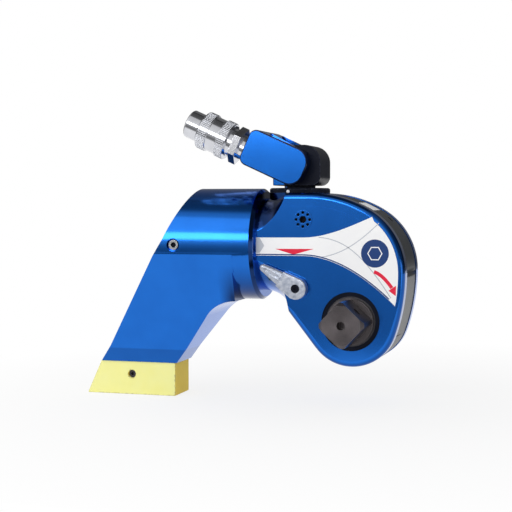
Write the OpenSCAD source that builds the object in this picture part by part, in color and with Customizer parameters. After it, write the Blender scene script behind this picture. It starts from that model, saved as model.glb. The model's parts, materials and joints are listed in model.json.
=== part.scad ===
// Hydraulic torque wrench: square drive head, ratchet, piston, reaction arm and hose swivel.
// The origin is on the square drive's axis, midway through the head.
// +X points at the shroud, -Y is the side the square drive leaves on, +Z is up.

/* [Head] */
// Width of the head across its two flat sides
head_w = 68; // [64:0.5:76]
// Radius of the nose round the drive
nose_r = 34; // [33:0.5:38]
// How far the shroud side stands out past the nose
head_bulge = 6; // [4:0.5:9]
// Height of the head's widest point above the drive
shoulder_z = 36; // [32:1:42]
// Radius of the upper corner of the head
brow_r = 54; // [48:1:58]
// Direction where the upper corner hands over to the flatter crown, in degrees
crown_start = 60; // [54:1:66]
// Height of the flat top above the drive
head_top = 95; // [92:0.5:100]
// Direction where the nose hands over to the straight lower edge, in degrees
nose_end = 218; // [212:1:222]
// Height of the lower corner in front of the turned shoulder
jaw_z = 10.5; // [8:0.5:14]
// Rounding of the head's outer edges
head_edge = 4.5; // [3:0.5:6]
// Thickness of each side wall
cheek_t = 12; // [10:0.5:13]

/* [Cylinder] */
// Height of the piston's axis above the drive
bore_z = 55.5; // [54:0.5:58]
// Radius of the barrel that the reaction arm slides on
barrel_r = 35.5; // [34:0.5:37]
// Distance from the drive back to the barrel's shoulder
barrel_start = 73.2; // [72:0.2:78]
// Length of the barrel
barrel_len = 54.8; // [52.8:0.2:56.8]
// Radius of the turned shoulder between the barrel and the head
turn_r = 26; // [22:0.5:27]
// Radius of the stepped tail behind the barrel
tail_r = 27; // [26:0.5:29]
// Length of the stepped tail
tail_len = 13; // [11:0.5:15]
// Radius of the piston
piston_r = 20; // [18:0.5:21]
// Thickness of the piston
piston_t = 16; // [13:0.5:18]
// Radius of the piston rod
rod_r = 10; // [8:0.5:10.5]
// Thickness of the rod gland
gland_t = 12; // [10:0.5:14]
// Radius of the screwed end cap
cap_r = 23; // [22:0.5:24]
// Thickness of the end cap
cap_t = 9; // [7:0.5:10]

/* [Ratchet] */
// Angle the crank turns through in one stroke, in degrees
stroke_deg = 30; // [20:10:30]
// Number of ratchet teeth
tooth_count = 36; // [24:12:36]
// Radius over the tooth tips
tooth_tip_r = 27; // [26:0.25:28]
// Depth of the teeth
tooth_depth = 2.5; // [1.5:0.1:3]
// Radius of the ratchet's hubs, which run in the sleeves
hub_r = 18.5; // [17.5:0.25:19.5]
// Radius of the holes in the side walls for the sleeves
hub_hole_r = 21.8; // [21:0.1:23]
// Thickness of each drive plate
plate_t = 8.5; // [6:0.5:9]
// Radius of the pin that joins the rod to the drive plates
crank_pin_r = 6; // [5:0.25:6.25]

/* [Square drive] */
// Size of the square drive across its flats
square_af = 25.4; // [19:0.1:26]
// How far the square drive stands out of the head
square_out = 33.4; // [28:0.2:40]
// Radius over the square drive's turned corners
square_corner_r = 16.6; // [14:0.1:17]
// Angle of the square at rest, in degrees
square_turn = 47; // [0:1:89]

/* [Release lever] */
// Distance from the drive back to the lever's shaft
lever_back = 40; // [39:0.5:42]
// Height of the lever's shaft above the drive
lever_z = 24; // [23:0.5:27]
// Radius of the lever's shaft
lever_shaft_r = 4; // [3:0.25:4.5]
// Radius of the lever's hub
lever_hub_r = 8.2; // [7:0.2:9]
// Length of the lever from its shaft to its tip
lever_len = 32; // [26:0.5:36]
// Direction of the lever, above the line pointing back, in degrees
lever_angle = 31; // [20:1:45]

/* [Reaction arm] */
// Outer radius of the sleeve
arm_r = 42.9; // [41:0.1:45]
// Distance from the drive back to the slanted end, at the top of the sleeve
arm_top_back = 125.3; // [122:0.5:130]
// Distance from the drive back to the bend in the slanted end
arm_bend_back = 144.6; // [142:0.2:147]
// Height of that bend above the drive
arm_bend_z = 59; // [56:0.5:62]
// Distance from the drive back to the heel of the foot
foot_heel_back = 205.4; // [198:0.2:210]
// Distance from the drive back to the toe of the foot
foot_toe_back = 142; // [138:1:148]
// Depth of the foot below the drive
foot_drop = 38; // [34:0.5:44]
// Width of the foot across the tool
foot_w = 34; // [30:1:44]
// Depth of the pad under the foot
pad_h = 26.3; // [22:0.1:32]
// Width of the pad across the tool
pad_w = 32; // [28:0.5:44]

/* [Swivel] */
// Distance from the drive back to the swivel's upright axis
swivel_back = 46.9; // [45:0.1:49]
// Height of the tilt axis above the head's flat top
tilt_rise = 20; // [19:0.5:22]
// Tilt of the hose couplers above level, in degrees
tilt_rest = 24.5; // [5:0.5:60]
// Width of the swivel post
post_w = 34; // [32:0.5:36]
// Width over the yoke's two arms
yoke_w = 60; // [58:0.5:66]
// Depth of the yoke's arms
yoke_h = 28.4; // [27:0.1:30]
// Length of the yoke from the tilt axis to its coupler face
yoke_len = 39.2; // [38:0.2:44]
// Radius of the tilt axle
axle_r = 7; // [6:0.25:8]
// Distance between the two couplers
coupler_gap = 32; // [31:0.5:36]

/* [Couplers] */
// Radius of the socket in the female coupler
socket_r = 8.2; // [7.5:0.1:8.6]
// Radius of the male nipple
nipple_r = 8; // [7:0.1:8.4]
// Radius of the locking sleeve over its knurled rings
collar_r = 14.5; // [14:0.1:15]
// Travel of the locking sleeve
collar_travel = 4; // [3:0.25:4.5]

/* [Hidden] */

$fn = 64;
steel = "#77797c";
dark_steel = "#46484b";
chrome = "#c9ccd0";
blue = "#1f56b4";
yellow = "#f0dc6a";
rubber = "#1b1b1c";

// Clearances: a seat that stays put, a running fit, and parts that pass each other
seat = 0.05;
run = 0.04;
pass = 0.3;
// How far a cutting shape runs past the face it cuts
cut = 1;

// Outline of the head as tangent arcs, each [centre, radius, first angle, last angle]
head_reach = nose_r + head_bulge;
chin_r = (2 * nose_r * head_bulge + head_bulge ^ 2 + shoulder_z ^ 2) / (2 * head_bulge);
chin_c = [head_reach - chin_r, shoulder_z];
chin_start = -atan2(shoulder_z, chin_r - head_reach);
brow_c = [head_reach - brow_r, shoulder_z];
brow_end = polar(brow_c, brow_r, crown_start);
crown_r = (head_top - brow_end.y) / (1 - sin(crown_start));
crown_c = polar(brow_end, -crown_r, crown_start);
nose_start = nose_end - 360;
nose_arc = [[0, 0], nose_r, nose_start, chin_start];
chin_arc = [chin_c, chin_r, chin_start, 0];
brow_arc = [brow_c, brow_r, 0, crown_start];
crown_arc = [crown_c, crown_r, crown_start, 90];
head_arcs = [nose_arc, chin_arc, brow_arc, crown_arc];
jaw_run = (jaw_z - nose_r * sin(nose_end)) / -cos(nose_end);
jaw = [nose_r * cos(nose_end) + jaw_run * sin(nose_end), jaw_z];
jaw_lap = 4;
rim_depth = 20;
rim_inset = 10;
// Rim of the head, each [arc, steps it is sunk below its flatter neighbours, laps into them at both ends]
rim_step = 0.05;
rim_lap = 1.5;
rim_arcs = [[nose_arc, 2, rim_lap, rim_lap], [chin_arc, 1, 0, 0],
    [brow_arc, 3, rim_lap, rim_lap], [crown_arc, 2, 0, rim_lap]];

// Crank: the rod's pin swings evenly above and below the piston's axis
half_stroke = stroke_deg / 2;
crank_r = 2 * bore_z / (1 + cos(half_stroke));
stroke = 2 * crank_r * sin(half_stroke);
pin_rise = crank_r * (1 - cos(half_stroke)) / 2;

// Depths across the tool
face_y = head_w / 2;
cavity_y = face_y - cheek_t;
plate_out_y = cavity_y - pass;
plate_in_y = plate_out_y - plate_t;
wheel_y = plate_in_y - pass;
hub_y = face_y - 1.2;
sleeve_y = face_y - 0.8;

// Stations along the cylinder
barrel_x = -barrel_start;
barrel_end_x = barrel_x - barrel_len;
tail_x = barrel_end_x - tail_len;
neck_step = 0.15;
piston_gap = 0.5;
piston_x = tail_x + cap_t + piston_gap;
piston_front_x = piston_x + piston_t;
gland_x = piston_front_x + stroke + piston_gap;
gland_front_x = gland_x + gland_t;
stud_r = 6;
stud_wall = 3;
ring_w = 4;
ring_depth = 3;
eye_x = -stroke / 2;
eye_r = crank_pin_r + 4.5;
slot_gap = 0.2;

// Cavity for the crank between the side walls, closed by the shroud
bay_r = nose_r - 4;
bay_back_x = -bay_r - 2;
bay_top_z = bore_z + 14;
bay_slope = 16;
shroud_end = -58;
shroud_top_x = -14;
shroud_top = acos((shroud_top_x - crown_c.x) / crown_r);
shroud_t = 3.5;
shroud_sink = 0.6;
shroud_chamfer = 1.4;
spacer_r = 3;
spacer_turn = 47;
shroud_back_x = polar(crown_c, crown_r - shroud_sink - shroud_t, shroud_top).x - pass;
spacer_c = polar(brow_c, brow_r - shroud_sink - shroud_t - spacer_r - seat, spacer_turn);
shroud_screw_y = 6;
shroud_screw_r = 2.6;

// Ratchet wheel and pawls
plate_r = bay_r - 1.5;
pin_boss_r = crank_pin_r + 4;
pitch = 360 / tooth_count;
tooth_root_r = tooth_tip_r - tooth_depth;
tooth_land = 0.2;
key_count = 12;
key_r = 15.2;
key_root_r = 13.6;
key_w = 3.4;
pawl_y = wheel_y - 3.5;
pawl_boss_r = 5;
pawl_nose_r = 2.4;
pawl_lift = 3.6;
pawl_pin_r = 3;
pawl_lobe_r = 5.5;
beak_lead = 0.9;
beak_back = 6;
drive_pawl_c = polar([0, 0], tooth_tip_r + 8, 65);
drive_flank = round(30 / pitch) * pitch;
reaction_flank = round(100 / pitch) * pitch + half_stroke;
lever_c = [-lever_back, lever_z];
pocket_r = pawl_boss_r + 1.8;
torsion_wire = 0.35;
torsion_turns = 2;

// Square drive and the retainer on its far side
collar_y = face_y + 1.6;
collar_disc_r = hub_r - 1;
square_tip_y = face_y + square_out;
square_chamfer = 2.4;
centre_hole_r = 3.1;
centre_hole_l = 9;
ball_hole_r = 3.2;
ball_hole_y = -face_y - 0.55 * square_out;
retainer_t = 4.2;
button_r = 5.4;
button_flange_r = 6.6;
button_flange_t = 4;
button_out = 3.4;
button_gap = 0.1;
tail_bore_r = 7;
tail_bore_y = 12;
retainer_wire = 0.7;

// Release lever on the near side wall
lever_in_y = -face_y - 0.4;
lever_hub_t = 7.6;
lever_out_y = lever_in_y - lever_hub_t;
lever_web_in = 1.6;
lever_web_out = 1.8;
lever_tip_r = 3;
lever_tip = polar(lever_c, lever_len - lever_tip_r, 180 - lever_angle);
lever_cap_t = 2.6;
lever_head_r = 3.1;
lever_head_sink = 0.7;
lever_shank_r = 1.6;
shaft_end_y = cavity_y + cheek_t / 2;

// Reaction arm, pad and their screws
arm_chamfer_x = 2.6;
arm_chamfer_r = 2.2;
crease_z = bore_z - 8.5;
knee_z = 12 - foot_drop;
arm_bend = [-arm_bend_back, arm_bend_z];
arm_top = [-arm_top_back, bore_z + arm_r];
leg_heel = [-foot_heel_back, -foot_drop];
leg_toe = [-foot_toe_back, -foot_drop];
leg_lean = 53.9;
leg_way = [cos(leg_lean), sin(leg_lean)];
leg_root_z = 35;
leg_root = leg_toe + leg_way * (leg_root_z + foot_drop) / sin(leg_lean);
leg_half = arm_r - 0.4;
leg_round_r = 30;
leg_corner = leg_toe + leg_way * (bore_z - arm_r + foot_drop) / sin(leg_lean);
leg_low = leg_corner - leg_way * leg_round_r * tan(leg_lean / 2);
leg_high = leg_corner + [leg_round_r * tan(leg_lean / 2), 0];
leg_round_c = leg_high - [0, leg_round_r];
pad_heel_over = 0.8;
pad_heel_run = 12;
pad_toe_in = 1.5;
tenon_l = 30;
tenon_w = 14;
tenon_h = 14;
tenon_x = (leg_heel.x + leg_toe.x) / 2;
pad_screw_c = [tenon_x - 6.5, -foot_drop - 10.2];
pad_head_r = 3.1;
pad_head_t = 3.4;
pad_head_sink = 2.4;
pad_shank_r = 2;
lock_x = (tail_x + barrel_end_x) / 2 - 1;
lock_recess_r = 5;
lock_recess = 4.5;
lock_head_r = 3.8;
lock_head_t = 3.4;
lock_shank_r = 2.6;
lock_dimple = 1.2;

// Plugs on the head
vent_c = [-36, 75];
vent_r = 7;
vent_t = 9;
vent_proud = 0.5;
vent_hex_r = 2.9;
vent_notch_r = 1.1;
vent_notches = 8;
plug_r = 1.9;
plug_t = 4.6;
plug_drop = 2.4;

// Swivel nut, post and yoke
swivel_x = -swivel_back;
nut_t = 3.7;
nut_r = 23.2;
nut_chamfer = 1;
spigot_r = 18;
spigot_h = 5;
flange_r = 15;
flange_h = 4.6;
flange_z = head_top - spigot_h - pass;
neck_r = 11.9;
stem_r = 10;
stem_z = bore_z + rod_r + 6.5;
oring_r = 0.9;
stem_seal_low = stem_z + 4;
stem_seal_high = flange_z - flange_h - 3;
post_base_z = head_top + nut_t + 1.8;
tilt_z = head_top + tilt_rise;
post_rise = 16.2;
post_top_z = tilt_z + post_rise;
post_nose = 3;
post_corner = 13;
post_back_corner = 12;
post_foot_r = 7;
yoke_in_y = post_w / 2 + 2 * pass;
yoke_bar_x = post_w / 2 + 5;
yoke_corner = 6;
yoke_nose = 11.5;
yoke_nose_r = 11;
coupler_drop = 3.8;
port_r = 8;
port_depth = 12;
axle_wall = 4;
axle_end_y = yoke_w / 2 + 1.9;
clip_r = 9.5;
clip_t = 1.1;
clip_groove = 1;
coupler_y = coupler_gap / 2;

// Couplers, measured out from the tilt axis
coupler_neck_r = 9.5;
hex_in = yoke_len + 5;
hex_out = hex_in + 5.8;
female_hex_r = 14.7;
male_hex_r = 11;
body_r = 11.4;
collar_in = hex_out + collar_travel + 0.5;
collar_out = collar_in + 23.5;
knurl_in = collar_in + 7.5;
knurl_out = collar_out - 8;
collar_mid_r = collar_r - 0.8;
spring_room_r = 12.9;
spring_room_in = collar_in + 2.5;
spring_room_out = spring_room_in + 11;
sleeve_wire = 0.5;
groove_w = 1.6;
groove_r = 9.8;
tube_r = 11;
nose_out = collar_out + groove_w + 11;
socket_depth = 15;
socket_in = nose_out - socket_depth;
valve_r = 6;
valve_lip = 0.6;
valve_len = 20;
valve_wire = 0.5;
passage_r = 3;
poppet_t = 5;
shank_r = 9.5;
shank_out = hex_out + 13;
lock_groove_in = shank_out + 7;
lock_groove_out = lock_groove_in + 3.2;
lock_groove_d = 0.9;
nipple_out = shank_out + 22;
nipple_valve_r = 5;
tip_chamfer = 1;

function polar(c, r, a) = [c.x + r * cos(a), c.y + r * sin(a)];
// The four points where two circles' outer tangent lines touch
function tangents(c1, r1, c2, r2) =
    let (d = c2 - c1, turn = atan2(d.y, d.x), open = acos((r1 - r2) / norm(d)))
    [polar(c1, r1, turn + open), polar(c2, r2, turn + open),
     polar(c2, r2, turn - open), polar(c1, r1, turn - open)];

// Extrudes an [x, z] outline between two depths
module slab(y0, y1) {
    translate([0, y1, 0]) rotate([90, 0, 0]) linear_extrude(y1 - y0) children();
}

// Cylinder across the tool, at [x, z]
module across(c, r, y0, y1) {
    translate([c.x, y1, c.y]) rotate([90, 0, 0]) cylinder(r = r, h = y1 - y0);
}

// Ring across the tool, at [x, z]
module ring_across(c, r_out, r_in, y0, y1) {
    difference() {
        across(c, r_out, y0, y1);
        across(c, r_in, y0 - cut, y1 + cut);
    }
}

// Cylinder along the piston's axis
module along(r, x0, x1) {
    translate([x0, 0, bore_z]) rotate([0, 90, 0]) cylinder(r = r, h = x1 - x0);
}

// Ring along the piston's axis
module ring_along(r_out, r_in, x0, x1) {
    difference() {
        along(r_out, x0, x1);
        along(r_in, x0 - cut, x1 + cut);
    }
}

// Two circles joined by straight sides, which sink a hair into the circles
module link(c1, r1, c2, r2) {
    translate(c1) circle(r1);
    translate(c2) circle(r2);
    polygon(tangents(c1, r1 - seat, c2, r2 - seat));
}

// Rectangle with round corners, those at its right end by end_r
module soft_rect(low, high, r, end_r) {
    tall = high.y - low.y;
    translate([low.x + r, low.y]) square([high.x - low.x - r - end_r, tall]);
    translate([low.x, low.y + r]) square([high.x - low.x - end_r, tall - 2 * r]);
    translate([low.x + r, low.y + end_r]) square([high.x - low.x - r, tall - 2 * end_r]);
    for (y = [low.y + r, high.y - r]) translate([low.x + r, y]) circle(r);
    for (y = [low.y + end_r, high.y - end_r]) translate([high.x - end_r, y]) circle(end_r);
}

// Torus round the Z axis
module oring(r, wire) {
    rotate_extrude() translate([r, 0]) circle(wire, $fn = 24);
}

// Coil spring along +Z from the origin, swept with six-sided wire
module coil(r, wire, length, turns) {
    sides = 6;
    per_turn = 14;
    steps = per_turn * turns;
    rise = (length - 2 * wire) / steps;
    points = [for (i = [0:steps], j = [0:sides - 1])
        let (a = 360 * i / per_turn, b = 360 * j / sides, q = r + wire * cos(b))
        [q * cos(a), q * sin(a), wire + rise * i + wire * sin(b)]];
    walls = [for (i = [0:steps - 1], j = [0:sides - 1])
        let (k = (j + 1) % sides, near = i * sides, far = near + sides)
        each [[near + j, near + k, far + k], [near + j, far + k, far + j]]];
    first = [for (j = [0:sides - 1]) sides - 1 - j];
    last = [for (j = [0:sides - 1]) steps * sides + j];
    polyhedron(points, concat(walls, [first], [last]));
}

// Turns a piece with the crank, which rests at the start of its stroke
module at_crank() {
    rotate([0, -half_stroke, 0]) children();
}

// Puts a piece on the yoke, whose couplers point along -X before it is tilted
module on_yoke() {
    translate([swivel_x, 0, tilt_z]) rotate([0, tilt_rest, 0]) children();
}

// Puts a piece on one of the two coupler axes, with +Z pointing out of the yoke
module on_coupler(side) {
    on_yoke() translate([0, side * coupler_y, -coupler_drop]) rotate([0, -90, 0]) children();
}

// Cylinder between two heights
module rod(r, z0, z1) {
    translate([0, 0, z0]) cylinder(r = r, h = z1 - z0);
}

// Section of the head's rim, as [radius, depth]
module rim_section(r, level) {
    half = face_y - level * rim_step;
    out = r - level * rim_step;
    translate([r - rim_depth, -half]) square([out - head_edge - r + rim_depth, 2 * half]);
    translate([r - rim_depth, head_edge - half]) square([out - r + rim_depth, 2 * (half - head_edge)]);
    for (y = [head_edge - half, half - head_edge]) translate([out - head_edge, y]) circle(head_edge);
}

// Puts a rim section's plane on an arc of the head, at an angle
module at_arc(c, a) {
    translate([c.x, 0, c.y]) rotate([90, 0, 0]) rotate([0, 0, a]) children();
}

// Short piece inside the joint where an arc begins or ends
module weld(arc, a) {
    step = asin(cut / arc[1]);
    at_arc(arc[0], a - step) rotate_extrude(angle = 2 * step) children();
}

// Straight stretch of rim that ends where an arc begins or starts where it ends
module rim_run(c, r, a, start, length) {
    at_arc(c, a) translate([0, start + length, 0]) rotate([90, 0, 0]) linear_extrude(length) rim_section(r, 1);
}

// The head as a slab with rounded edges, before its shoulder is turned
module head_slab() {
    for (rim = rim_arcs) {
        arc = rim[0];
        at_arc(arc[0], arc[2] - rim[2]) rotate_extrude(angle = arc[3] - arc[2] + rim[2] + rim[3])
            rim_section(arc[1], rim[1]);
    }
    rim_run(crown_c, crown_r, 90, 0, crown_c.x - barrel_x);
    rim_run([0, 0], nose_r, nose_start, -jaw_run - jaw_lap, jaw_run + jaw_lap);
    core = [for (arc = head_arcs, s = [0.1:0.2:0.9])
        polar(arc[0], arc[1] - rim_inset, arc[2] + s * (arc[3] - arc[2]))];
    slab(-face_y, face_y)
        polygon(concat(core, [[barrel_x, head_top - rim_inset], [barrel_x, jaw_z], [jaw.x + jaw_lap, jaw_z]]));
}

// Room between the side walls for the crank, the rod and the reaction pawl
module cavity() {
    slab(-cavity_y, cavity_y) {
        circle(bay_r);
        polygon([[0, 0], [bay_back_x, 0], [bay_back_x, bay_top_z], [shroud_back_x, bay_top_z + bay_slope],
            [shroud_back_x, head_top + cut], [2 * head_reach, head_top + cut],
            polar([0, 0], 3 * head_reach, shroud_end)]);
    }
    slab(-wheel_y, wheel_y) {
        translate(lever_c) circle(pocket_r);
        translate([lever_c.x, lever_c.y - pocket_r])
            square([lever_back + bay_back_x + cut, 2 * pocket_r + 8]);
    }
}

module housing() {
    color(blue) difference() {
        union() {
            difference() {
                head_slab();
                translate([barrel_x, 0, bore_z]) rotate([0, 90, 0]) rotate_extrude()
                    translate([barrel_r + neck_step + turn_r, 0]) circle(turn_r);
            }
            along(barrel_r, barrel_end_x, barrel_x + cut);
            along(tail_r, tail_x, barrel_x + cut);
            translate([swivel_x, 0, 0]) rod(nut_r, bore_z, head_top);
        }
        cavity();
        across([0, 0], hub_hole_r, -face_y - cut, face_y + cut);
        across(lever_c, lever_shaft_r + run, -face_y - cut, shaft_end_y);
        along(cap_r + seat, tail_x - cut, tail_x + cap_t);
        along(piston_r + run, tail_x, gland_front_x);
        along(rod_r + cut, gland_front_x - cut, bay_back_x + cut);
        translate([swivel_x, 0, 0]) {
            rod(stem_r + run, stem_z, head_top + cut);
            rod(spigot_r + seat, flange_z - flange_h - pass, head_top + cut);
        }
        across(vent_c, vent_r + seat, -face_y - cut, vent_t - face_y);
        across([swivel_x, head_top - plug_drop], plug_r + seat, -nut_r - cut, plug_t - nut_r);
        across([lock_x, bore_z], lock_shank_r + seat, -tail_r - cut, lock_dimple - tail_r);
    }
}

module cylinder_end_cap() {
    hole_ring = 14;
    hole_r = 2.5;
    hole_l = 5;
    color(dark_steel) difference() {
        along(cap_r, tail_x, tail_x + cap_t);
        for (side = [-1, 1]) translate([tail_x - cut, side * hole_ring, bore_z])
            rotate([0, 90, 0]) cylinder(r = hole_r, h = hole_l + cut);
    }
}

module piston() {
    color(steel) difference() {
        along(piston_r, piston_x, piston_front_x);
        ring_along(piston_r + cut, piston_r - ring_depth,
            (piston_x + piston_front_x - ring_w) / 2 - seat, (piston_x + piston_front_x + ring_w) / 2 + seat);
        along(stud_r, piston_x + stud_wall, piston_front_x + cut);
    }
}

module piston_seal() {
    color(rubber) ring_along(piston_r, piston_r - ring_depth + seat,
        (piston_x + piston_front_x - ring_w) / 2, (piston_x + piston_front_x + ring_w) / 2);
}

module piston_rod() {
    color(chrome) difference() {
        union() {
            along(rod_r, piston_front_x, eye_x);
            along(stud_r - seat, piston_x + stud_wall + seat, piston_front_x);
            slab(-wheel_y + seat, wheel_y - seat) translate([eye_x, bore_z]) circle(eye_r);
        }
        slab(-wheel_y - cut, wheel_y + cut) translate([eye_x, bore_z])
            link([0, pin_rise], crank_pin_r + slot_gap, [0, -pin_rise], crank_pin_r + slot_gap);
    }
}

module rod_gland() {
    color(dark_steel) difference() {
        ring_along(piston_r, rod_r + run, gland_x, gland_front_x);
        along(rod_r + ring_depth, gland_x + ring_w - seat, gland_x + 2 * ring_w + seat);
    }
}

module rod_seal() {
    color(rubber) ring_along(rod_r + ring_depth - seat, rod_r + run, gland_x + ring_w, gland_x + 2 * ring_w);
}

// Side plate that carries the ratchet hub, the rod's pin and the drive pawl
module drive_plate(y0, y1) {
    at_crank() difference() {
        union() {
            slab(y0, y1) link([0, 0], plate_r, [0, crank_r], pin_boss_r);
            slab(y0, y1) link([0, 0], tooth_root_r, drive_pawl_c, pawl_lobe_r);
        }
        across([0, 0], hub_r + run, y0 - cut, y1 + cut);
        across([0, crank_r], crank_pin_r, y0 - cut, y1 + cut);
        across(drive_pawl_c, pawl_pin_r, y0 - cut, y1 + cut);
    }
}

module drive_plate_front() { color(steel) drive_plate(-plate_out_y, -plate_in_y); }

module drive_plate_rear() { color(steel) drive_plate(plate_in_y, plate_out_y); }

module crank_pin() {
    color(chrome) at_crank() across([0, crank_r], crank_pin_r - seat, -plate_out_y, plate_out_y);
}

// Pawl with its beak held just clear of the tooth tips, behind the flank it pushes
module pawl(pivot, boss_r, flank, bore_r) {
    tip_r = tooth_tip_r + pass;
    heel_r = tip_r + pawl_lift;
    nose = polar([0, 0], heel_r, flank + beak_back / 2);
    difference() {
        union() {
            slab(-pawl_y, pawl_y) link(pivot, boss_r, nose, pawl_nose_r);
            slab(-pawl_y, pawl_y) polygon([polar([0, 0], tip_r, flank + beak_lead),
                polar([0, 0], heel_r, flank + beak_lead), polar([0, 0], heel_r, flank + beak_back),
                polar([0, 0], tip_r + 1.3, flank + beak_back)]);
        }
        across(pivot, bore_r, -pawl_y - cut, pawl_y + cut);
    }
}

module drive_pawl() { color(dark_steel) at_crank() pawl(drive_pawl_c, pawl_boss_r, drive_flank, pawl_pin_r + run); }

module drive_pawl_pin() {
    color(chrome) at_crank() across(drive_pawl_c, pawl_pin_r - seat, -plate_out_y, plate_out_y);
}

// A pair of torsion springs on a pawl's pin, one at each side of the pawl
module torsion_pair(c, pin_r) {
    length = wheel_y - pawl_y - pass;
    for (y = [-wheel_y, pawl_y + pass]) translate([c.x, y, c.y]) rotate([-90, 0, 0])
        coil(pin_r + torsion_wire + pass / 2, torsion_wire, length, torsion_turns);
}

module drive_pawl_springs() { color(steel) at_crank() torsion_pair(drive_pawl_c, pawl_pin_r); }

module ratchet_wheel() {
    color(dark_steel) at_crank() difference() {
        union() {
            slab(-wheel_y, wheel_y) polygon([for (k = [0:tooth_count - 1])
                each [polar([0, 0], tooth_root_r, k * pitch),
                    polar([0, 0], tooth_tip_r, (k + 1 - tooth_land) * pitch),
                    polar([0, 0], tooth_tip_r, (k + 1) * pitch)]]);
            across([0, 0], hub_r, -hub_y, hub_y);
        }
        slab(-hub_y - cut, hub_y + cut) spline(seat);
    }
}

// Key section that carries the torque from the ratchet to the square drive
module spline(grow) {
    circle(key_root_r + grow);
    for (k = [0:key_count - 1]) rotate(360 * k / key_count)
        translate([0, -key_w / 2 - grow]) square([key_r + grow, key_w + 2 * grow]);
}

module drive_sleeves() {
    color(dark_steel) {
        ring_across([0, 0], hub_hole_r - seat, hub_r + run, -sleeve_y, -cavity_y - pass);
        ring_across([0, 0], hub_hole_r - seat, hub_r + run, cavity_y + pass, sleeve_y);
    }
}

module square_drive() {
    color(dark_steel) at_crank() difference() {
        union() {
            slab(-hub_y - seat, hub_y) spline(0);
            across([0, 0], collar_disc_r, -collar_y, -hub_y);
            intersection() {
                slab(-square_tip_y, -collar_y + seat) rotate(square_turn - half_stroke) square(square_af, center = true);
                union() {
                    across([0, 0], square_corner_r, square_chamfer - square_tip_y, -collar_y + seat);
                    translate([0, square_chamfer - square_tip_y, 0]) rotate([90, 0, 0])
                        cylinder(r1 = square_corner_r, r2 = square_corner_r - square_chamfer, h = square_chamfer);
                }
            }
        }
        across([0, 0], centre_hole_r, -square_tip_y - cut, centre_hole_l - square_tip_y);
        translate([0, ball_hole_y, 0]) rotate([0, half_stroke - square_turn, 0]) rotate([0, 90, 0])
            cylinder(r = ball_hole_r, h = 2 * square_af, center = true);
        across([0, 0], tail_bore_r, tail_bore_y, hub_y + cut);
    }
}

module drive_retainer() {
    hole_ring = 12;
    color(steel) at_crank() difference() {
        across([0, 0], collar_disc_r, hub_y, hub_y + retainer_t);
        across([0, 0], button_r + button_gap, hub_y - cut, hub_y + retainer_t + cut);
        for (side = [-1, 1]) across([side * hole_ring, 0], plug_r, hub_y + 1, hub_y + retainer_t + cut);
    }
}

module retainer_button() {
    color(chrome) at_crank() {
        across([0, 0], button_r, hub_y - button_gap - button_flange_t, hub_y + retainer_t + button_out);
        across([0, 0], button_flange_r, hub_y - button_gap - button_flange_t, hub_y - button_gap);
    }
}

module retainer_spring() {
    color(steel) at_crank() translate([0, tail_bore_y, 0]) rotate([-90, 0, 0])
        coil(button_r - 2 * retainer_wire, retainer_wire, hub_y - button_gap - button_flange_t - tail_bore_y, 5);
}

module reaction_pawl() {
    color(dark_steel) pawl(lever_c, lever_shaft_r + 2, reaction_flank, lever_shaft_r + seat);
}

module reaction_pawl_springs() { color(steel) torsion_pair(lever_c, lever_shaft_r); }

module release_shaft() {
    color(steel) difference() {
        across(lever_c, lever_shaft_r, lever_out_y + lever_cap_t, shaft_end_y - pass);
        across(lever_c, lever_shank_r + seat, lever_out_y + lever_cap_t - cut, lever_in_y);
    }
}

module release_lever() {
    color(chrome) difference() {
        union() {
            across(lever_c, lever_hub_r, lever_out_y, lever_in_y);
            slab(lever_out_y + lever_web_out, lever_in_y - lever_web_in)
                link(lever_c, lever_hub_r - seat, lever_tip, lever_tip_r);
        }
        across(lever_c, lever_shaft_r + seat, lever_out_y + lever_cap_t, lever_in_y + cut);
        across(lever_c, lever_head_r + seat, lever_out_y - cut, lever_out_y + lever_cap_t);
    }
}

module lever_screw() {
    hex_r = 1.7;
    color(dark_steel) difference() {
        union() {
            across(lever_c, lever_head_r, lever_out_y + lever_head_sink, lever_out_y + lever_cap_t);
            across(lever_c, lever_shank_r, lever_out_y + lever_cap_t - seat, lever_in_y - pass);
        }
        across(lever_c, hex_r, lever_out_y, lever_out_y + lever_cap_t - lever_head_sink, $fn = 6);
    }
}

// Sleeve of the arm with the chamfer at its front end
module arm_sleeve() {
    translate([leg_heel.x, 0, bore_z]) rotate([0, 90, 0]) rotate_extrude()
        polygon([[0, 0], [arm_r, 0], [arm_r, barrel_x - leg_heel.x - arm_chamfer_x],
            [arm_r - arm_chamfer_r, barrel_x - leg_heel.x], [0, barrel_x - leg_heel.x]]);
}

// Leg of the arm, which tapers down to the foot and runs into the sleeve with a round
module arm_leg() {
    difference() {
        intersection() {
            slab(-arm_r - cut, arm_r + cut)
                polygon([[leg_heel.x - arm_r, bore_z], [leg_heel.x - arm_r, -foot_drop - cut],
                    leg_toe - cut * leg_way, leg_low, leg_high, [leg_high.x, leg_root_z], leg_root, [leg_root.x, bore_z]]);
            translate([leg_heel.x - arm_r, 0, 0]) rotate([90, 0, 90]) linear_extrude(foot_heel_back)
                polygon([[-leg_half, bore_z], [-leg_half, crease_z], [-foot_w / 2, knee_z],
                    [-foot_w / 2, -foot_drop - cut], [foot_w / 2, -foot_drop - cut], [foot_w / 2, knee_z],
                    [leg_half, crease_z], [leg_half, bore_z]]);
        }
        across(leg_round_c, leg_round_r + seat, -arm_r - 2 * cut, arm_r + 2 * cut);
    }
}

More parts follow.
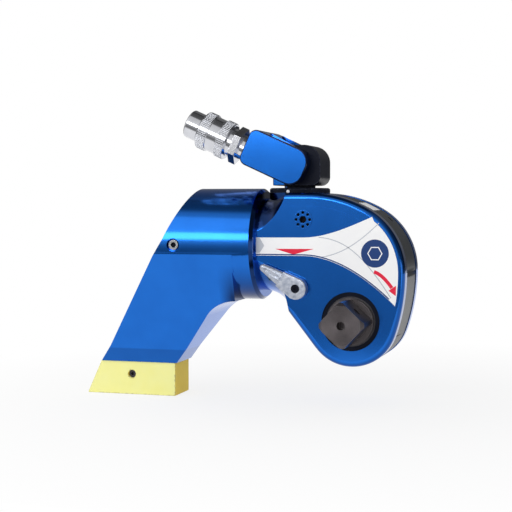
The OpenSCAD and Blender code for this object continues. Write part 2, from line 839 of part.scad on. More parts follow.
module reaction_arm() {
    high = arm_top + (arm_top - arm_bend) * 0.1;
    color(blue) difference() {
        union() {
            intersection() {
                union() {
                    arm_sleeve();
                    arm_leg();
                }
                slab(-arm_r - 2 * cut, arm_r + 2 * cut)
                    polygon([[barrel_x + cut, high.y], high, arm_bend, leg_heel, [barrel_x + cut, leg_heel.y]]);
            }
            translate([tenon_x - tenon_l / 2, -tenon_w / 2, -foot_drop - tenon_h])
                cube([tenon_l, tenon_w, tenon_h + cut]);
        }
        along(barrel_r + seat, barrel_end_x - seat, barrel_x + cut);
        along(tail_r + seat, leg_heel.x, barrel_end_x);
        across([lock_x, bore_z], lock_recess_r, -arm_r - cut, lock_recess - arm_r);
        across([lock_x, bore_z], lock_shank_r + seat, -arm_r, -tail_r + cut);
        across(pad_screw_c, pad_shank_r + seat, -tenon_w, tenon_w);
    }
}

module arm_lock_screw() {
    hex_r = 2.2;
    head_y = lock_recess - arm_r;
    color(chrome) difference() {
        union() {
            across([lock_x, bore_z], lock_head_r, head_y - lock_head_t, head_y);
            across([lock_x, bore_z], lock_shank_r, head_y - seat, lock_dimple - tail_r - pass);
        }
        across([lock_x, bore_z], hex_r, head_y - lock_head_t - cut, head_y - 1.2, $fn = 6);
    }
}

module reaction_pad() {
    top_z = -foot_drop;
    low_z = top_z - pad_h;
    color(yellow) difference() {
        slab(-pad_w / 2, pad_w / 2) polygon([[leg_heel.x - pad_heel_over, top_z], [leg_toe.x - pad_toe_in, top_z],
            [leg_toe.x - pad_toe_in, low_z], [leg_heel.x - pad_heel_over - pad_heel_run, low_z]]);
        translate([tenon_x - tenon_l / 2 - seat, -tenon_w / 2 - seat, top_z - tenon_h - pass])
            cube([tenon_l + 2 * seat, tenon_w + 2 * seat, tenon_h + pass + cut]);
        across(pad_screw_c, pad_head_r + seat, -pad_w / 2 - cut, pad_head_sink + pad_head_t - pad_w / 2);
        across(pad_screw_c, pad_shank_r + seat, -pad_w / 2, pad_w / 2 - pad_head_t);
    }
}

module pad_screw() {
    hex_r = 1.7;
    head_y = pad_head_sink - pad_w / 2;
    color(dark_steel) difference() {
        union() {
            across(pad_screw_c, pad_head_r, head_y, head_y + pad_head_t);
            across(pad_screw_c, pad_shank_r, head_y + pad_head_t - seat, pad_w / 2 - pad_head_t - pass);
        }
        across(pad_screw_c, hex_r, head_y - cut, head_y + pad_head_t - cut, $fn = 6);
    }
}

// Band section of the shroud on an arc, with chamfered outer edges
module shroud_section(r, inset) {
    half = cavity_y - pass - inset;
    out = r - shroud_sink - inset;
    low = r - shroud_sink - shroud_t + inset;
    polygon([[low, -half], [out - shroud_chamfer, -half], [out, shroud_chamfer - half],
        [out, half - shroud_chamfer], [out - shroud_chamfer, half], [low, half]]);
}

// Four bands on the head's arcs, with a short piece inside each joint to weld them
module shroud() {
    bands = [[[0, 0], nose_r, shroud_end, chin_start], chin_arc, brow_arc, [crown_c, crown_r, crown_start, shroud_top]];
    color(dark_steel) difference() {
        union() {
            for (arc = bands)
                at_arc(arc[0], arc[2]) rotate_extrude(angle = arc[3] - arc[2]) shroud_section(arc[1], 0);
            for (arc = [chin_arc, brow_arc, crown_arc]) weld(arc, arc[2]) shroud_section(arc[1], seat);
        }
        on_shroud_screw() rod(shroud_screw_r + seat, -cut, shroud_t + cut);
    }
}

// Puts a piece on the shroud's screw, with +Z pointing out of the spacer
module on_shroud_screw() {
    translate([spacer_c.x, shroud_screw_y, spacer_c.y]) rotate([0, 90 - spacer_turn, 0])
        translate([0, 0, spacer_r + seat]) children();
}

module shroud_spacer() {
    color(steel) difference() {
        across(spacer_c, spacer_r, seat - cavity_y, cavity_y - seat);
        on_shroud_screw() rod(lever_shank_r + seat, -spacer_r, cut);
    }
}

module shroud_screw() {
    hex_r = 1.4;
    color(dark_steel) on_shroud_screw() difference() {
        union() {
            rod(shroud_screw_r, 0, shroud_t - 1);
            rod(lever_shank_r, pass - spacer_r, seat);
        }
        translate([0, 0, 1]) cylinder(r = hex_r, h = shroud_t, $fn = 6);
    }
}

module vent_plug() {
    out_y = -face_y - vent_proud;
    notch_ring = (vent_r + vent_hex_r) / 2 + 0.2;
    color(blue) difference() {
        across(vent_c, vent_r, out_y, vent_t - face_y);
        across(vent_c, vent_hex_r, out_y - cut, out_y + vent_t / 2, $fn = 6);
        for (k = [0:vent_notches - 1])
            across(polar(vent_c, notch_ring, 360 * k / vent_notches), vent_notch_r, out_y - cut, out_y + vent_t / 3);
    }
}

module passage_plug() {
    color(chrome) across([swivel_x, head_top - plug_drop], plug_r, -nut_r - seat, plug_t - nut_r);
}

module swivel_nut() {
    color(dark_steel) translate([swivel_x, 0, 0]) difference() {
        union() {
            rod(nut_r, head_top, head_top + nut_t - nut_chamfer);
            translate([0, 0, head_top + nut_t - nut_chamfer])
                cylinder(r1 = nut_r, r2 = nut_r - nut_chamfer, h = nut_chamfer);
            rod(spigot_r, head_top - spigot_h, head_top + cut);
        }
        rod(neck_r + run, head_top - spigot_h - cut, head_top + nut_t + cut);
    }
}

module swivel_post() {
    half = post_w / 2;
    color(blue) difference() {
        union() {
            slab(-half, half) translate([swivel_x, 0]) {
                translate([-half, post_base_z])
                    square([post_w + post_nose - post_foot_r, post_top_z - post_corner - post_base_z]);
                translate([0, post_base_z + post_foot_r])
                    square([half + post_nose, post_top_z - post_corner - post_foot_r - post_base_z]);
                translate([post_back_corner - half, post_base_z])
                    square([post_w + post_nose - post_back_corner - post_corner, post_top_z - post_base_z]);
                translate([half + post_nose - post_foot_r, post_base_z + post_foot_r]) circle(post_foot_r);
                translate([half + post_nose - post_corner, post_top_z - post_corner]) circle(post_corner);
                translate([post_back_corner - half, post_top_z - post_back_corner]) circle(post_back_corner);
            }
            translate([swivel_x, 0, 0]) {
                rod(neck_r, flange_z - cut, post_base_z + cut);
                rod(flange_r, flange_z - flange_h, flange_z);
                rod(stem_r, stem_z + pass, flange_z);
            }
        }
        across([swivel_x, tilt_z], axle_r + run, -half - cut, half + cut);
        translate([swivel_x, 0, 0]) for (z = [stem_seal_low, stem_seal_high]) difference() {
            rod(stem_r + cut, z - oring_r - seat, z + oring_r + seat);
            rod(stem_r - 2 * oring_r - seat, z - 2 * cut, z + 2 * cut);
        }
    }
}

module stem_seals() {
    color(rubber) translate([swivel_x, 0, 0])
        for (z = [stem_seal_low, stem_seal_high]) translate([0, 0, z]) oring(stem_r - oring_r, oring_r);
}

module swivel_yoke() {
    half_h = yoke_h / 2;
    half_w = yoke_w / 2;
    color(blue) on_yoke() difference() {
        union() {
            for (y = [-half_w, yoke_in_y]) slab(y, y + half_w - yoke_in_y)
                soft_rect([-yoke_len, -half_h], [yoke_nose, half_h], yoke_corner, yoke_nose_r);
            slab(-yoke_in_y - cut, yoke_in_y + cut)
                soft_rect([-yoke_len, -half_h], [-yoke_bar_x, half_h], yoke_corner, yoke_corner);
        }
        across([0, 0], axle_r + seat, axle_wall - half_w, half_w + cut);
        for (side = [-1, 1]) translate([0, side * coupler_y, -coupler_drop]) rotate([0, -90, 0])
            rod(port_r, yoke_len - port_depth, yoke_len + cut);
    }
}

// Grooves on the axle that hold its seals inside the post
axle_seal_y = post_w / 4;

module tilt_axle() {
    color(steel) on_yoke() difference() {
        across([0, 0], axle_r, axle_wall + seat - yoke_w / 2, axle_end_y);
        for (y = [-axle_seal_y, axle_seal_y])
            ring_across([0, 0], axle_r + cut, axle_r - 2 * oring_r - seat, y - oring_r - seat, y + oring_r + seat);
        ring_across([0, 0], axle_r + cut, axle_r - clip_groove, yoke_w / 2, yoke_w / 2 + clip_t + 2 * seat);
    }
}

module axle_seals() {
    color(rubber) on_yoke() for (y = [-axle_seal_y, axle_seal_y])
        translate([0, y, 0]) rotate([90, 0, 0]) oring(axle_r - oring_r, oring_r);
}

module axle_clip() {
    gap_w = 5;
    color(dark_steel) on_yoke() difference() {
        ring_across([0, 0], clip_r, axle_r - clip_groove + seat, yoke_w / 2 + seat, yoke_w / 2 + clip_t + seat);
        translate([0, yoke_w / 2, -gap_w / 2]) cube([clip_r + cut, 2 * clip_t, gap_w]);
    }
}

// Screwed end, neck and hexagon that both couplers have
module coupler_root(hex_r) {
    rod(port_r - seat, yoke_len - port_depth + pass, yoke_len);
    rod(coupler_neck_r, yoke_len, hex_in);
    translate([0, 0, hex_in]) cylinder(r = hex_r, h = hex_out - hex_in, $fn = 6);
}

// Cylinder whose far end has a small chamfer
module tipped_rod(r, z0, z1) {
    rod(r, z0, z1 - tip_chamfer);
    translate([0, 0, z1 - tip_chamfer]) cylinder(r1 = r, r2 = r - tip_chamfer, h = tip_chamfer);
}

// Oil passage, room for a valve and the lip that stops the valve
module valve_bore(bore_r, lip_z) {
    rod(passage_r, yoke_len - port_depth, lip_z);
    rod(bore_r, lip_z - valve_len, lip_z - valve_lip);
    rod(bore_r - 2 * valve_lip, lip_z - valve_len, lip_z + cut);
}

module female_coupler() {
    color(chrome) on_coupler(-1) difference() {
        union() {
            coupler_root(female_hex_r);
            rod(body_r, hex_out, collar_out);
            rod(groove_r, collar_out - cut, collar_out + groove_w + cut);
            tipped_rod(tube_r, collar_out + groove_w, nose_out);
        }
        valve_bore(valve_r, socket_in);
        rod(socket_r, socket_in, nose_out + cut);
    }
}

module locking_sleeve() {
    color(chrome) on_coupler(-1) difference() {
        union() {
            rod(collar_r, collar_in, knurl_in);
            rod(collar_mid_r, knurl_in - cut, knurl_out + cut);
            rod(collar_r, knurl_out, collar_out);
        }
        rod(body_r + run, collar_in - cut, collar_out + cut);
        rod(spring_room_r, spring_room_in, spring_room_out);
    }
}

module sleeve_spring() {
    color(steel) on_coupler(-1) translate([0, 0, spring_room_in])
        coil((body_r + spring_room_r) / 2 + 2 * run, sleeve_wire, spring_room_out - spring_room_in, 4);
}

// Valve poppet behind a lip, with a nose that fills the lip's hole
module poppet(bore_r, lip_z) {
    rod(bore_r - pass, lip_z - valve_lip - poppet_t, lip_z - valve_lip - seat);
    rod(bore_r - 2 * valve_lip - pass, lip_z - valve_lip - poppet_t, lip_z - seat);
}

// Spring that holds a poppet against its lip
module poppet_spring(bore_r, lip_z) {
    translate([0, 0, lip_z - valve_len])
        coil(bore_r - pass - 2 * valve_wire, valve_wire, valve_len - valve_lip - poppet_t, 5);
}

module female_poppet() { color(steel) on_coupler(-1) poppet(valve_r, socket_in); }

module female_spring() { color(steel) on_coupler(-1) poppet_spring(valve_r, socket_in); }

module male_coupler() {
    color(chrome) on_coupler(1) difference() {
        union() {
            coupler_root(male_hex_r);
            rod(shank_r, hex_out, shank_out);
            tipped_rod(nipple_r, shank_out, nipple_out);
        }
        difference() {
            rod(nipple_r + cut, lock_groove_in, lock_groove_out);
            rod(nipple_r - lock_groove_d, lock_groove_in - cut, lock_groove_out + cut);
        }
        valve_bore(nipple_valve_r, nipple_out);
    }
}

module male_poppet() { color(steel) on_coupler(1) poppet(nipple_valve_r, nipple_out); }

module male_spring() { color(steel) on_coupler(1) poppet_spring(nipple_valve_r, nipple_out); }

housing();
cylinder_end_cap();
piston();
piston_seal();
piston_rod();
rod_gland();
rod_seal();
drive_plate_front();
drive_plate_rear();
crank_pin();
drive_pawl();
drive_pawl_pin();
drive_pawl_springs();
ratchet_wheel();
drive_sleeves();
square_drive();
drive_retainer();
retainer_button();
retainer_spring();
reaction_pawl();
reaction_pawl_springs();
release_shaft();
release_lever();
lever_screw();
reaction_arm();
arm_lock_screw();
reaction_pad();
pad_screw();
shroud();
shroud_spacer();
shroud_screw();
vent_plug();
passage_plug();
swivel_nut();
swivel_post();
stem_seals();
swivel_yoke();
tilt_axle();
axle_seals();
axle_clip();
female_coupler();
locking_sleeve();
sleeve_spring();
female_poppet();
female_spring();
male_coupler();
male_poppet();
male_spring();
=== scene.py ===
import json
import math

import bmesh
import bpy
from mathutils import Matrix, Vector


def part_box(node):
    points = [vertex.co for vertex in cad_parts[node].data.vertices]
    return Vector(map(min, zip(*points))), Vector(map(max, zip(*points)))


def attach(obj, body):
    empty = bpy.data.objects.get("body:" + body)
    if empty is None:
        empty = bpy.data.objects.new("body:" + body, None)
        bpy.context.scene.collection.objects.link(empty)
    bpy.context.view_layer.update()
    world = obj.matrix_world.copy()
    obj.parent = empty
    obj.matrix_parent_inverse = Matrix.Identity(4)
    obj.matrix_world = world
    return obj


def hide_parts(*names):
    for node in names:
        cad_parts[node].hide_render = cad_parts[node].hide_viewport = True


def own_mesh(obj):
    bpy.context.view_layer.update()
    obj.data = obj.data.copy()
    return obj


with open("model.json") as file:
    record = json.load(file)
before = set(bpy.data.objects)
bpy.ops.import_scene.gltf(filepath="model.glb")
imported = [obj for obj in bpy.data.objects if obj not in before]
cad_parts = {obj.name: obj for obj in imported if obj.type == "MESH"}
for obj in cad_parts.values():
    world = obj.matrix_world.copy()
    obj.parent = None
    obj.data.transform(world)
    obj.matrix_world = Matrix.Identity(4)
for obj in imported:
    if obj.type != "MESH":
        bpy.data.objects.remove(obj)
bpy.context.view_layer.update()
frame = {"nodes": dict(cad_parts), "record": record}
nodes = frame["nodes"]
print("frame loaded:", len(nodes), "nodes")

mm = 0.001


def newObject(name, data):
    made = bpy.data.objects.new(name, data)
    bpy.context.scene.collection.objects.link(made)
    return made


def meshOf(name, bm):
    mesh = bpy.data.meshes.new(name)
    bm.to_mesh(mesh)
    bm.free()
    return mesh


# camera at the photo's angle
cameraView = {
    "focalPixels": 1210.28,
    "imagePixels": 512,
    "sensor": 36.0,
    "yaw": math.radians(16.32),
    "pitch": math.radians(2.5),
    "place": (0.18275, -0.90499, 0.08715),
    "clip": (0.01, 50.0),
}


def makeCamera(view):
    sinYaw, cosYaw = math.sin(view["yaw"]), math.cos(view["yaw"])
    sinPitch, cosPitch = math.sin(view["pitch"]), math.cos(view["pitch"])
    ahead = Vector((-sinYaw * cosPitch, cosYaw * cosPitch, -sinPitch))
    right = Vector((cosYaw, sinYaw, 0.0))
    up = right.cross(ahead)
    data = bpy.data.cameras.new("camera")
    data.sensor_fit = "HORIZONTAL"
    data.sensor_width = view["sensor"]
    data.lens = view["sensor"] * view["focalPixels"] / view["imagePixels"]
    data.clip_start, data.clip_end = view["clip"]
    camera = newObject("camera", data)
    turn = Matrix((right, up, -ahead)).transposed().to_4x4()
    camera.matrix_world = Matrix.Translation(Vector(view["place"])) @ turn
    bpy.context.scene.camera = camera


makeCamera(cameraView)
bpy.context.scene.view_settings.view_transform = "Standard"
print("camera set")


# small helpers for node trees
def addNode(tree, kind, **values):
    node = tree.nodes.new(kind)
    for key, value in values.items():
        setattr(node, key, value)
    return node


def join(tree, source, target):
    tree.links.new(source, target)


def newMaterial(name):
    material = bpy.data.materials.new(name)
    material.use_nodes = True
    tree = material.node_tree
    return material, tree, tree.nodes["Principled BSDF"]


def objectPlace(tree):
    return addNode(tree, "ShaderNodeTexCoord").outputs["Object"]


def noiseOf(tree, place, scale, detail):
    noise = addNode(tree, "ShaderNodeTexNoise")
    noise.inputs["Scale"].default_value = scale
    noise.inputs["Detail"].default_value = detail
    join(tree, place, noise.inputs["Vector"])
    return noise.outputs["Fac"]


def spread(tree, value, low, high, fromLow=0.3, fromHigh=0.7):
    node = addNode(tree, "ShaderNodeMapRange")
    node.inputs["From Min"].default_value = fromLow
    node.inputs["From Max"].default_value = fromHigh
    node.inputs["To Min"].default_value = low
    node.inputs["To Max"].default_value = high
    join(tree, value, node.inputs["Value"])
    return node.outputs["Result"]


def mixColours(tree, factor, first, second):
    node = addNode(tree, "ShaderNodeMix", data_type="RGBA")
    join(tree, factor, node.inputs["Factor"])
    for socket, colour in ((node.inputs[6], first), (node.inputs[7], second)):
        if isinstance(colour, tuple):
            socket.default_value = (*colour, 1.0)
        else:
            join(tree, colour, socket)
    return node.outputs[2]


def combine(tree, operation, first, second, clamped=False):
    node = addNode(tree, "ShaderNodeMath", operation=operation, use_clamp=clamped)
    for socket, value in ((node.inputs[0], first), (node.inputs[1], second)):
        if isinstance(value, float):
            socket.default_value = value
        else:
            join(tree, value, socket)
    return node.outputs["Value"]


def times(tree, first, second):
    return combine(tree, "MULTIPLY", first, second)


def plus(tree, first, second):
    return combine(tree, "ADD", first, second, clamped=True)


# a bump, laid over any bump that the shader has already
def addBump(tree, shader, height, strength, distance):
    node = addNode(tree, "ShaderNodeBump")
    node.inputs["Strength"].default_value = strength
    node.inputs["Distance"].default_value = distance
    join(tree, height, node.inputs["Height"])
    for earlier in [link.from_socket for link in shader.inputs["Normal"].links]:
        join(tree, earlier, node.inputs["Normal"])
    join(tree, node.outputs["Normal"], shader.inputs["Normal"])


# detail of each noise, and the part of the noise over which wear sets in
noiseDetail = {"cloud": 4.0, "wear": 4.0, "grain": 2.0, "floor": 3.0}
wearRange = (0.45, 0.62)


# wear in patches on the broken edges; with edgeLine every broken edge takes the worn tone, a painted
# dark reflection
def edgeWearAndShade(tree, place, look):
    edge = addNode(tree, "ShaderNodeAttribute", attribute_name="edge").outputs["Fac"]
    if look.get("edgeLine"):
        return edge
    patches = noiseOf(tree, place, look["wearScale"], noiseDetail["wear"])
    worn = times(tree, edge, spread(tree, patches, 0.0, 1.0, *wearRange))
    return times(tree, worn, look["wear"])


# a metal or paint: two close tones, worn edges, grain in gloss and bump; with edgeLine every broken
# edge takes the worn tone whole, as a painted dark reflection
def makeFinish(name, look):
    material, tree, shader = newMaterial(name)
    place = objectPlace(tree)
    cloud = noiseOf(tree, place, look["cloudScale"], noiseDetail["cloud"])
    colour = mixColours(tree, spread(tree, cloud, 0.0, 1.0), look["tone"], look["otherTone"])
    worn = edgeWearAndShade(tree, place, look)
    join(tree, mixColours(tree, worn, colour, look["wornTone"]), shader.inputs["Base Color"])
    grain = noiseOf(tree, place, look["grainScale"], noiseDetail["grain"])
    join(tree, spread(tree, grain, *look["roughness"]), shader.inputs["Roughness"])
    shader.inputs["Metallic"].default_value = look["metallic"]
    shader.inputs["Specular IOR Level"].default_value = look.get("specular", 0.5)
    shader.inputs["Coat Weight"].default_value = look.get("coat", 0.0)
    shader.inputs["Coat Roughness"].default_value = look.get("coatRoughness", 0.1)
    addBump(tree, shader, grain, look["bump"], look["bumpDepth"])
    return material


filmBase = {
    "wear": 0.3,
    "wearScale": 400.0,
    "cloudScale": 90.0,
    "grainScale": 1500.0,
    "roughness": (0.3, 0.42),
    "metallic": 0.0,
    "specular": 0.25,
    "bump": 0.05,
    "bumpDepth": 0.00003,
}
finishes = {
    "blue": {
        "tone": (0.008, 0.142, 0.60),
        "otherTone": (0.010, 0.160, 0.66),
        "wornTone": (0.10, 0.26, 0.62),
        "wear": 0.35,
        "wearScale": 700.0,
        "cloudScale": 45.0,
        "grainScale": 5200.0,
        "roughness": (0.13, 0.19),
        "metallic": 1.0,
        "coat": 0.25,
        "coatRoughness": 0.12,
        "bump": 0.08,
        "bumpDepth": 0.00004,
    },
    "blackAnodised": {
        "tone": (0.007, 0.009, 0.017),
        "otherTone": (0.010, 0.012, 0.022),
        "wornTone": (0.09, 0.10, 0.13),
        "wear": 0.5,
        "wearScale": 900.0,
        "cloudScale": 60.0,
        "grainScale": 5200.0,
        "roughness": (0.26, 0.36),
        "metallic": 0.0,
        "specular": 0.06,
        "bump": 0.10,
        "bumpDepth": 0.00004,
    },
    "coverBlack": {
        "tone": (0.017, 0.022, 0.026),
        "otherTone": (0.023, 0.028, 0.033),
        "wornTone": (0.12, 0.13, 0.14),
        "wear": 0.45,
        "wearScale": 900.0,
        "cloudScale": 80.0,
        "grainScale": 3000.0,
        "roughness": (0.30, 0.42),
        "metallic": 0.0,
        "specular": 0.4,
        "bump": 0.16,
        "bumpDepth": 0.00006,
    },
    "blackOxide": {
        "tone": (0.060, 0.058, 0.066),
        "otherTone": (0.085, 0.083, 0.090),
        "wornTone": (0.30, 0.30, 0.31),
        "wear": 0.8,
        "wearScale": 1200.0,
        "cloudScale": 120.0,
        "grainScale": 2600.0,
        "roughness": (0.28, 0.45),
        "metallic": 0.9,
        "bump": 0.18,
        "bumpDepth": 0.00006,
    },
    "machinedSteel": {
        "tone": (0.40, 0.41, 0.42),
        "otherTone": (0.47, 0.48, 0.49),
        "wornTone": (0.60, 0.60, 0.60),
        "wear": 0.5,
        "wearScale": 1200.0,
        "cloudScale": 150.0,
        "grainScale": 2600.0,
        "roughness": (0.24, 0.36),
        "metallic": 1.0,
        "bump": 0.12,
        "bumpDepth": 0.00004,
    },
    "brightPlate": {
        "tone": (0.64, 0.65, 0.69),
        "otherTone": (0.71, 0.72, 0.76),
        "wornTone": (0.82, 0.82, 0.82),
        "wear": 0.3,
        "wearScale": 1500.0,
        "cloudScale": 150.0,
        "grainScale": 1800.0,
        "roughness": (0.07, 0.13),
        "metallic": 1.0,
        "bump": 0.04,
        "bumpDepth": 0.00003,
    },
    "blastedSteel": {
        "tone": (0.33, 0.37, 0.46),
        "otherTone": (0.58, 0.61, 0.68),
        "wornTone": (0.80, 0.80, 0.80),
        "wear": 0.6,
        "wearScale": 1500.0,
        "cloudScale": 420.0,
        "grainScale": 4200.0,
        "roughness": (0.34, 0.46),
        "metallic": 0.9,
        "bump": 0.25,
        "bumpDepth": 0.00005,
    },
    "padYellow": {
        "tone": (0.99, 0.96, 0.36),
        "otherTone": (1.0, 0.98, 0.41),
        "wornTone": (0.52, 0.47, 0.22),
        "wear": 0.6,
        "wearScale": 600.0,
        "cloudScale": 90.0,
        "grainScale": 2200.0,
        "roughness": (0.36, 0.5),
        "metallic": 0.0,
        "specular": 0.06,
        "bump": 0.2,
        "bumpDepth": 0.00006,
    },
    "sealRubber": {
        "tone": (0.018, 0.018, 0.019),
        "otherTone": (0.026, 0.026, 0.027),
        "wornTone": (0.05, 0.05, 0.05),
        "wear": 0.2,
        "wearScale": 900.0,
        "cloudScale": 200.0,
        "grainScale": 2500.0,
        "roughness": (0.55, 0.7),
        "metallic": 0.0,
        "bump": 0.2,
        "bumpDepth": 0.00005,
    },
    "whiteFilm": {
        **filmBase,
        "tone": (0.93, 0.93, 0.94),
        "otherTone": (0.96, 0.96, 0.96),
        "wornTone": (0.70, 0.70, 0.70),
        "cloudScale": 60.0,
    },
    "navyFilm": {
        **filmBase,
        "tone": (0.011, 0.045, 0.185),
        "otherTone": (0.014, 0.052, 0.205),
        "wornTone": (0.10, 0.14, 0.25),
    },
    "redFilm": {
        **filmBase,
        "tone": (0.78, 0.014, 0.052),
        "otherTone": (0.84, 0.018, 0.062),
        "wornTone": (0.85, 0.30, 0.30),
    },
    "greyPrintAndShade": {
        **filmBase,
        "tone": (0.50, 0.53, 0.58),
        "otherTone": (0.54, 0.57, 0.62),
        "wornTone": (0.70, 0.70, 0.70),
    },
}


def like(name, **changes):
    return {**finishes[name], **changes}


finishes["knurledPlate"] = like(
    "brightPlate", tone=(0.36, 0.37, 0.40), otherTone=(0.46, 0.47, 0.50), roughness=(0.2, 0.3))
finishes["padShaded"] = like("padYellow", tone=(0.92, 0.66, 0.09), otherTone=(0.94, 0.69, 0.11))
# painted dark reflection: the yoke's broken edges take a dark navy line
finishes["yokeBlue"] = like("blue", wornTone=(0.003, 0.014, 0.07), edgeLine=True)
finishes["turnedOxide"] = like(
    "blackOxide", tone=(0.085, 0.076, 0.080), otherTone=(0.115, 0.102, 0.106))
materials = {name: makeFinish(name, look) for name, look in finishes.items()}


# rings left by the lathe on the drive and the gloss along them, round its own axis
turning = {
    "scale": 260.0,
    "distortion": 0.6,
    "detail": 2.0,
    "strength": 0.35,
    "depth": 0.00012,
    "gloss": 0.75,
}


def addTurning(material, marks):
    tree = material.node_tree
    shader = tree.nodes["Principled BSDF"]
    rings = addNode(tree, "ShaderNodeTexWave", wave_type="RINGS", rings_direction="Y")
    rings.inputs["Scale"].default_value = marks["scale"]
    rings.inputs["Distortion"].default_value = marks["distortion"]
    rings.inputs["Detail"].default_value = marks["detail"]
    join(tree, objectPlace(tree), rings.inputs["Vector"])
    addBump(tree, shader, rings.outputs["Fac"], marks["strength"], marks["depth"])
    way = addNode(tree, "ShaderNodeTangent", direction_type="RADIAL", axis="Y")
    join(tree, way.outputs["Tangent"], shader.inputs["Tangent"])
    shader.inputs["Anisotropic"].default_value = marks["gloss"]


# painted shade and dimmed reflections on the blue, each between two limits in mm: the sleeve's
# end, the shoulder beside it, the arm's underside, a band above the pad and the head's near rim
blueShade = {
    "sleeveEnd": (-76.0, -75.7),
    "shoulderStart": (-73.4, -73.1),
    "shoulderEnd": (-64.0, -46.0),
    "behindFace": (-33.95, -33.6),
    "height": (58.0, 80.0),
    "underStart": (-102.0, -92.0),
    "underHeight": (40.0, 16.0),
    "footEnd": (-130.0, -125.0),
    "footHeight": (-28.0, -27.2),
    "footShare": 0.34,
    "rimStart": (-33.84, -33.0),
    "rimEnd": (-24.0, -18.0),
    "rimShare": 0.55,
    "amount": 0.85,
    "tone": (0.002, 0.008, 0.045),
}


def addShade(material, shade):
    tree = material.node_tree
    shader = tree.nodes["Principled BSDF"]
    split = addNode(tree, "ShaderNodeSeparateXYZ")
    join(tree, objectPlace(tree), split.inputs["Vector"])

    def ramp(axis, key, low=0.0, high=1.0):
        first, last = shade[key]
        return spread(tree, split.outputs[axis], low, high, first * mm, last * mm)

    sleeve = times(tree, ramp("X", "sleeveEnd"), ramp("X", "shoulderStart", 1.0, 0.0))
    shoulder = times(tree, ramp("X", "shoulderStart"), ramp("X", "shoulderEnd", 1.0, 0.0))
    shoulder = times(tree, shoulder, times(tree, ramp("Y", "behindFace"), ramp("Z", "height")))
    under = times(tree, ramp("X", "underStart"), ramp("X", "sleeveEnd", 1.0, 0.0))
    under = times(tree, under, ramp("Z", "underHeight"))
    band = ramp("Z", "footHeight", shade["footShare"], 0.0)
    foot = times(tree, ramp("X", "footEnd", 1.0, 0.0), band)
    rim = times(tree, ramp("Y", "rimStart", 0.0, shade["rimShare"]), ramp("Y", "rimEnd", 1.0, 0.0))
    rim = times(tree, rim, ramp("X", "shoulderStart"))
    total = sleeve
    for part in (shoulder, under, foot, rim):
        total = plus(tree, total, part)
    share = times(tree, total, shade["amount"])
    lit = shader.inputs["Base Color"].links[0].from_socket
    join(tree, mixColours(tree, share, lit, shade["tone"]), shader.inputs["Base Color"])


addShade(materials["blue"], blueShade)
addTurning(materials["turnedOxide"], turning)
print("materials made:", len(materials))


def plainMesh(piece):
    graph = bpy.context.evaluated_depsgraph_get()
    mesh = bpy.data.meshes.new_from_object(piece.evaluated_get(graph))
    old = piece.data
    piece.modifiers.clear()
    piece.data = mesh
    mesh.name = piece.name
    bpy.data.meshes.remove(old)


# the flat patch that each face lies in, and the area of each patch
def patchAreas(bm, flatAngle):
    patchOf = {}
    areas = []
    for seed in bm.faces:
        if seed in patchOf:
            continue
        patchOf[seed] = len(areas)
        stack = [seed]
        area = 0.0
        while stack:
            face = stack.pop()
            area += face.calc_area()
            for edge in face.edges:
                for other in edge.link_faces:
                    if other not in patchOf and other.normal.angle(seed.normal, 0.0) < flatAngle:
                        patchOf[other] = len(areas)
                        stack.append(other)
        areas.append(area)
    return patchOf, areas


# angles in degrees: faces of one patch, faces merged as flat, edges to break, smooth shading
angles = {"patch": 0.2, "flat": 0.4, "sharp": 38.0, "smooth": 32.0}
# distances in mm that join a node's loose triangles
merging = {"points": 0.002, "slivers": 0.001}
leastArea = 1e-15  # keeps a sliver from dividing by zero


# corner normals weighted by the areas of the flat patches that meet there
def settleNormals(bm, smoothAngle):
    patchOf, areas = patchAreas(bm, math.radians(angles["patch"]))
    least = math.cos(smoothAngle)
    normals = []
    for face in bm.faces:
        for corner in face.loops:
            around = [f for f in corner.vert.link_faces if f.normal.dot(face.normal) > least]
            near = {patchOf[f]: f.normal for f in around}
            near[patchOf[face]] = face.normal
            most = max(max(areas[k] for k in near), leastArea)
            total = Vector((0.0, 0.0, 0.0))
            for k, normal in near.items():
                total += normal * (areas[k] / most) ** 2
            normals.append(total.normalized())
    return normals


# finish names the materials of the faces with index 0, 1 and so on, joined by a plus
def addPiece(name, bm, finish, body, smoothAngle=angles["smooth"]):
    bm.normal_update()
    normals = settleNormals(bm, math.radians(smoothAngle))
    mesh = meshOf(name, bm)
    for label in finish.split("+"):
        mesh.materials.append(materials[label])
    mesh.shade_smooth()
    mesh.normals_split_custom_set(normals)
    piece = newObject(name, mesh)
    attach(piece, body)
    return piece


def mergedCopy(nodeName):
    bm = bmesh.new()
    bm.from_mesh(nodes[nodeName].data)
    bmesh.ops.remove_doubles(bm, verts=bm.verts, dist=merging["points"] * mm)
    bmesh.ops.dissolve_degenerate(bm, dist=merging["slivers"] * mm, edges=bm.edges)
    return bm


def breakEdges(bm, width, clamped):
    layer = bm.faces.layers.float.new("edge")
    flat = math.radians(angles["flat"])
    sharp = math.radians(angles["sharp"])
    bmesh.ops.dissolve_limit(bm, angle_limit=flat, verts=bm.verts, edges=bm.edges)
    chosen = [e for e in bm.edges if e.is_manifold and e.calc_face_angle(0.0) > sharp]
    made = bmesh.ops.bevel(
        bm, geom=chosen, offset=width, offset_type="OFFSET", segments=2,
        profile=0.5, affect="EDGES", clamp_overlap=clamped, loop_slide=True)
    for face in made["faces"]:
        face[layer] = 1.0


# which faces take a piece's second finish, a painted shade, in mm apart from padFacing, the least x
# of a normal
paintedShadeFaces = {
    "postFrom": -55.0,
    "padFacing": 0.8,
    "sunkDepth": {"vent_plug": 0.3, "arm_lock_screw": 0.45},
}


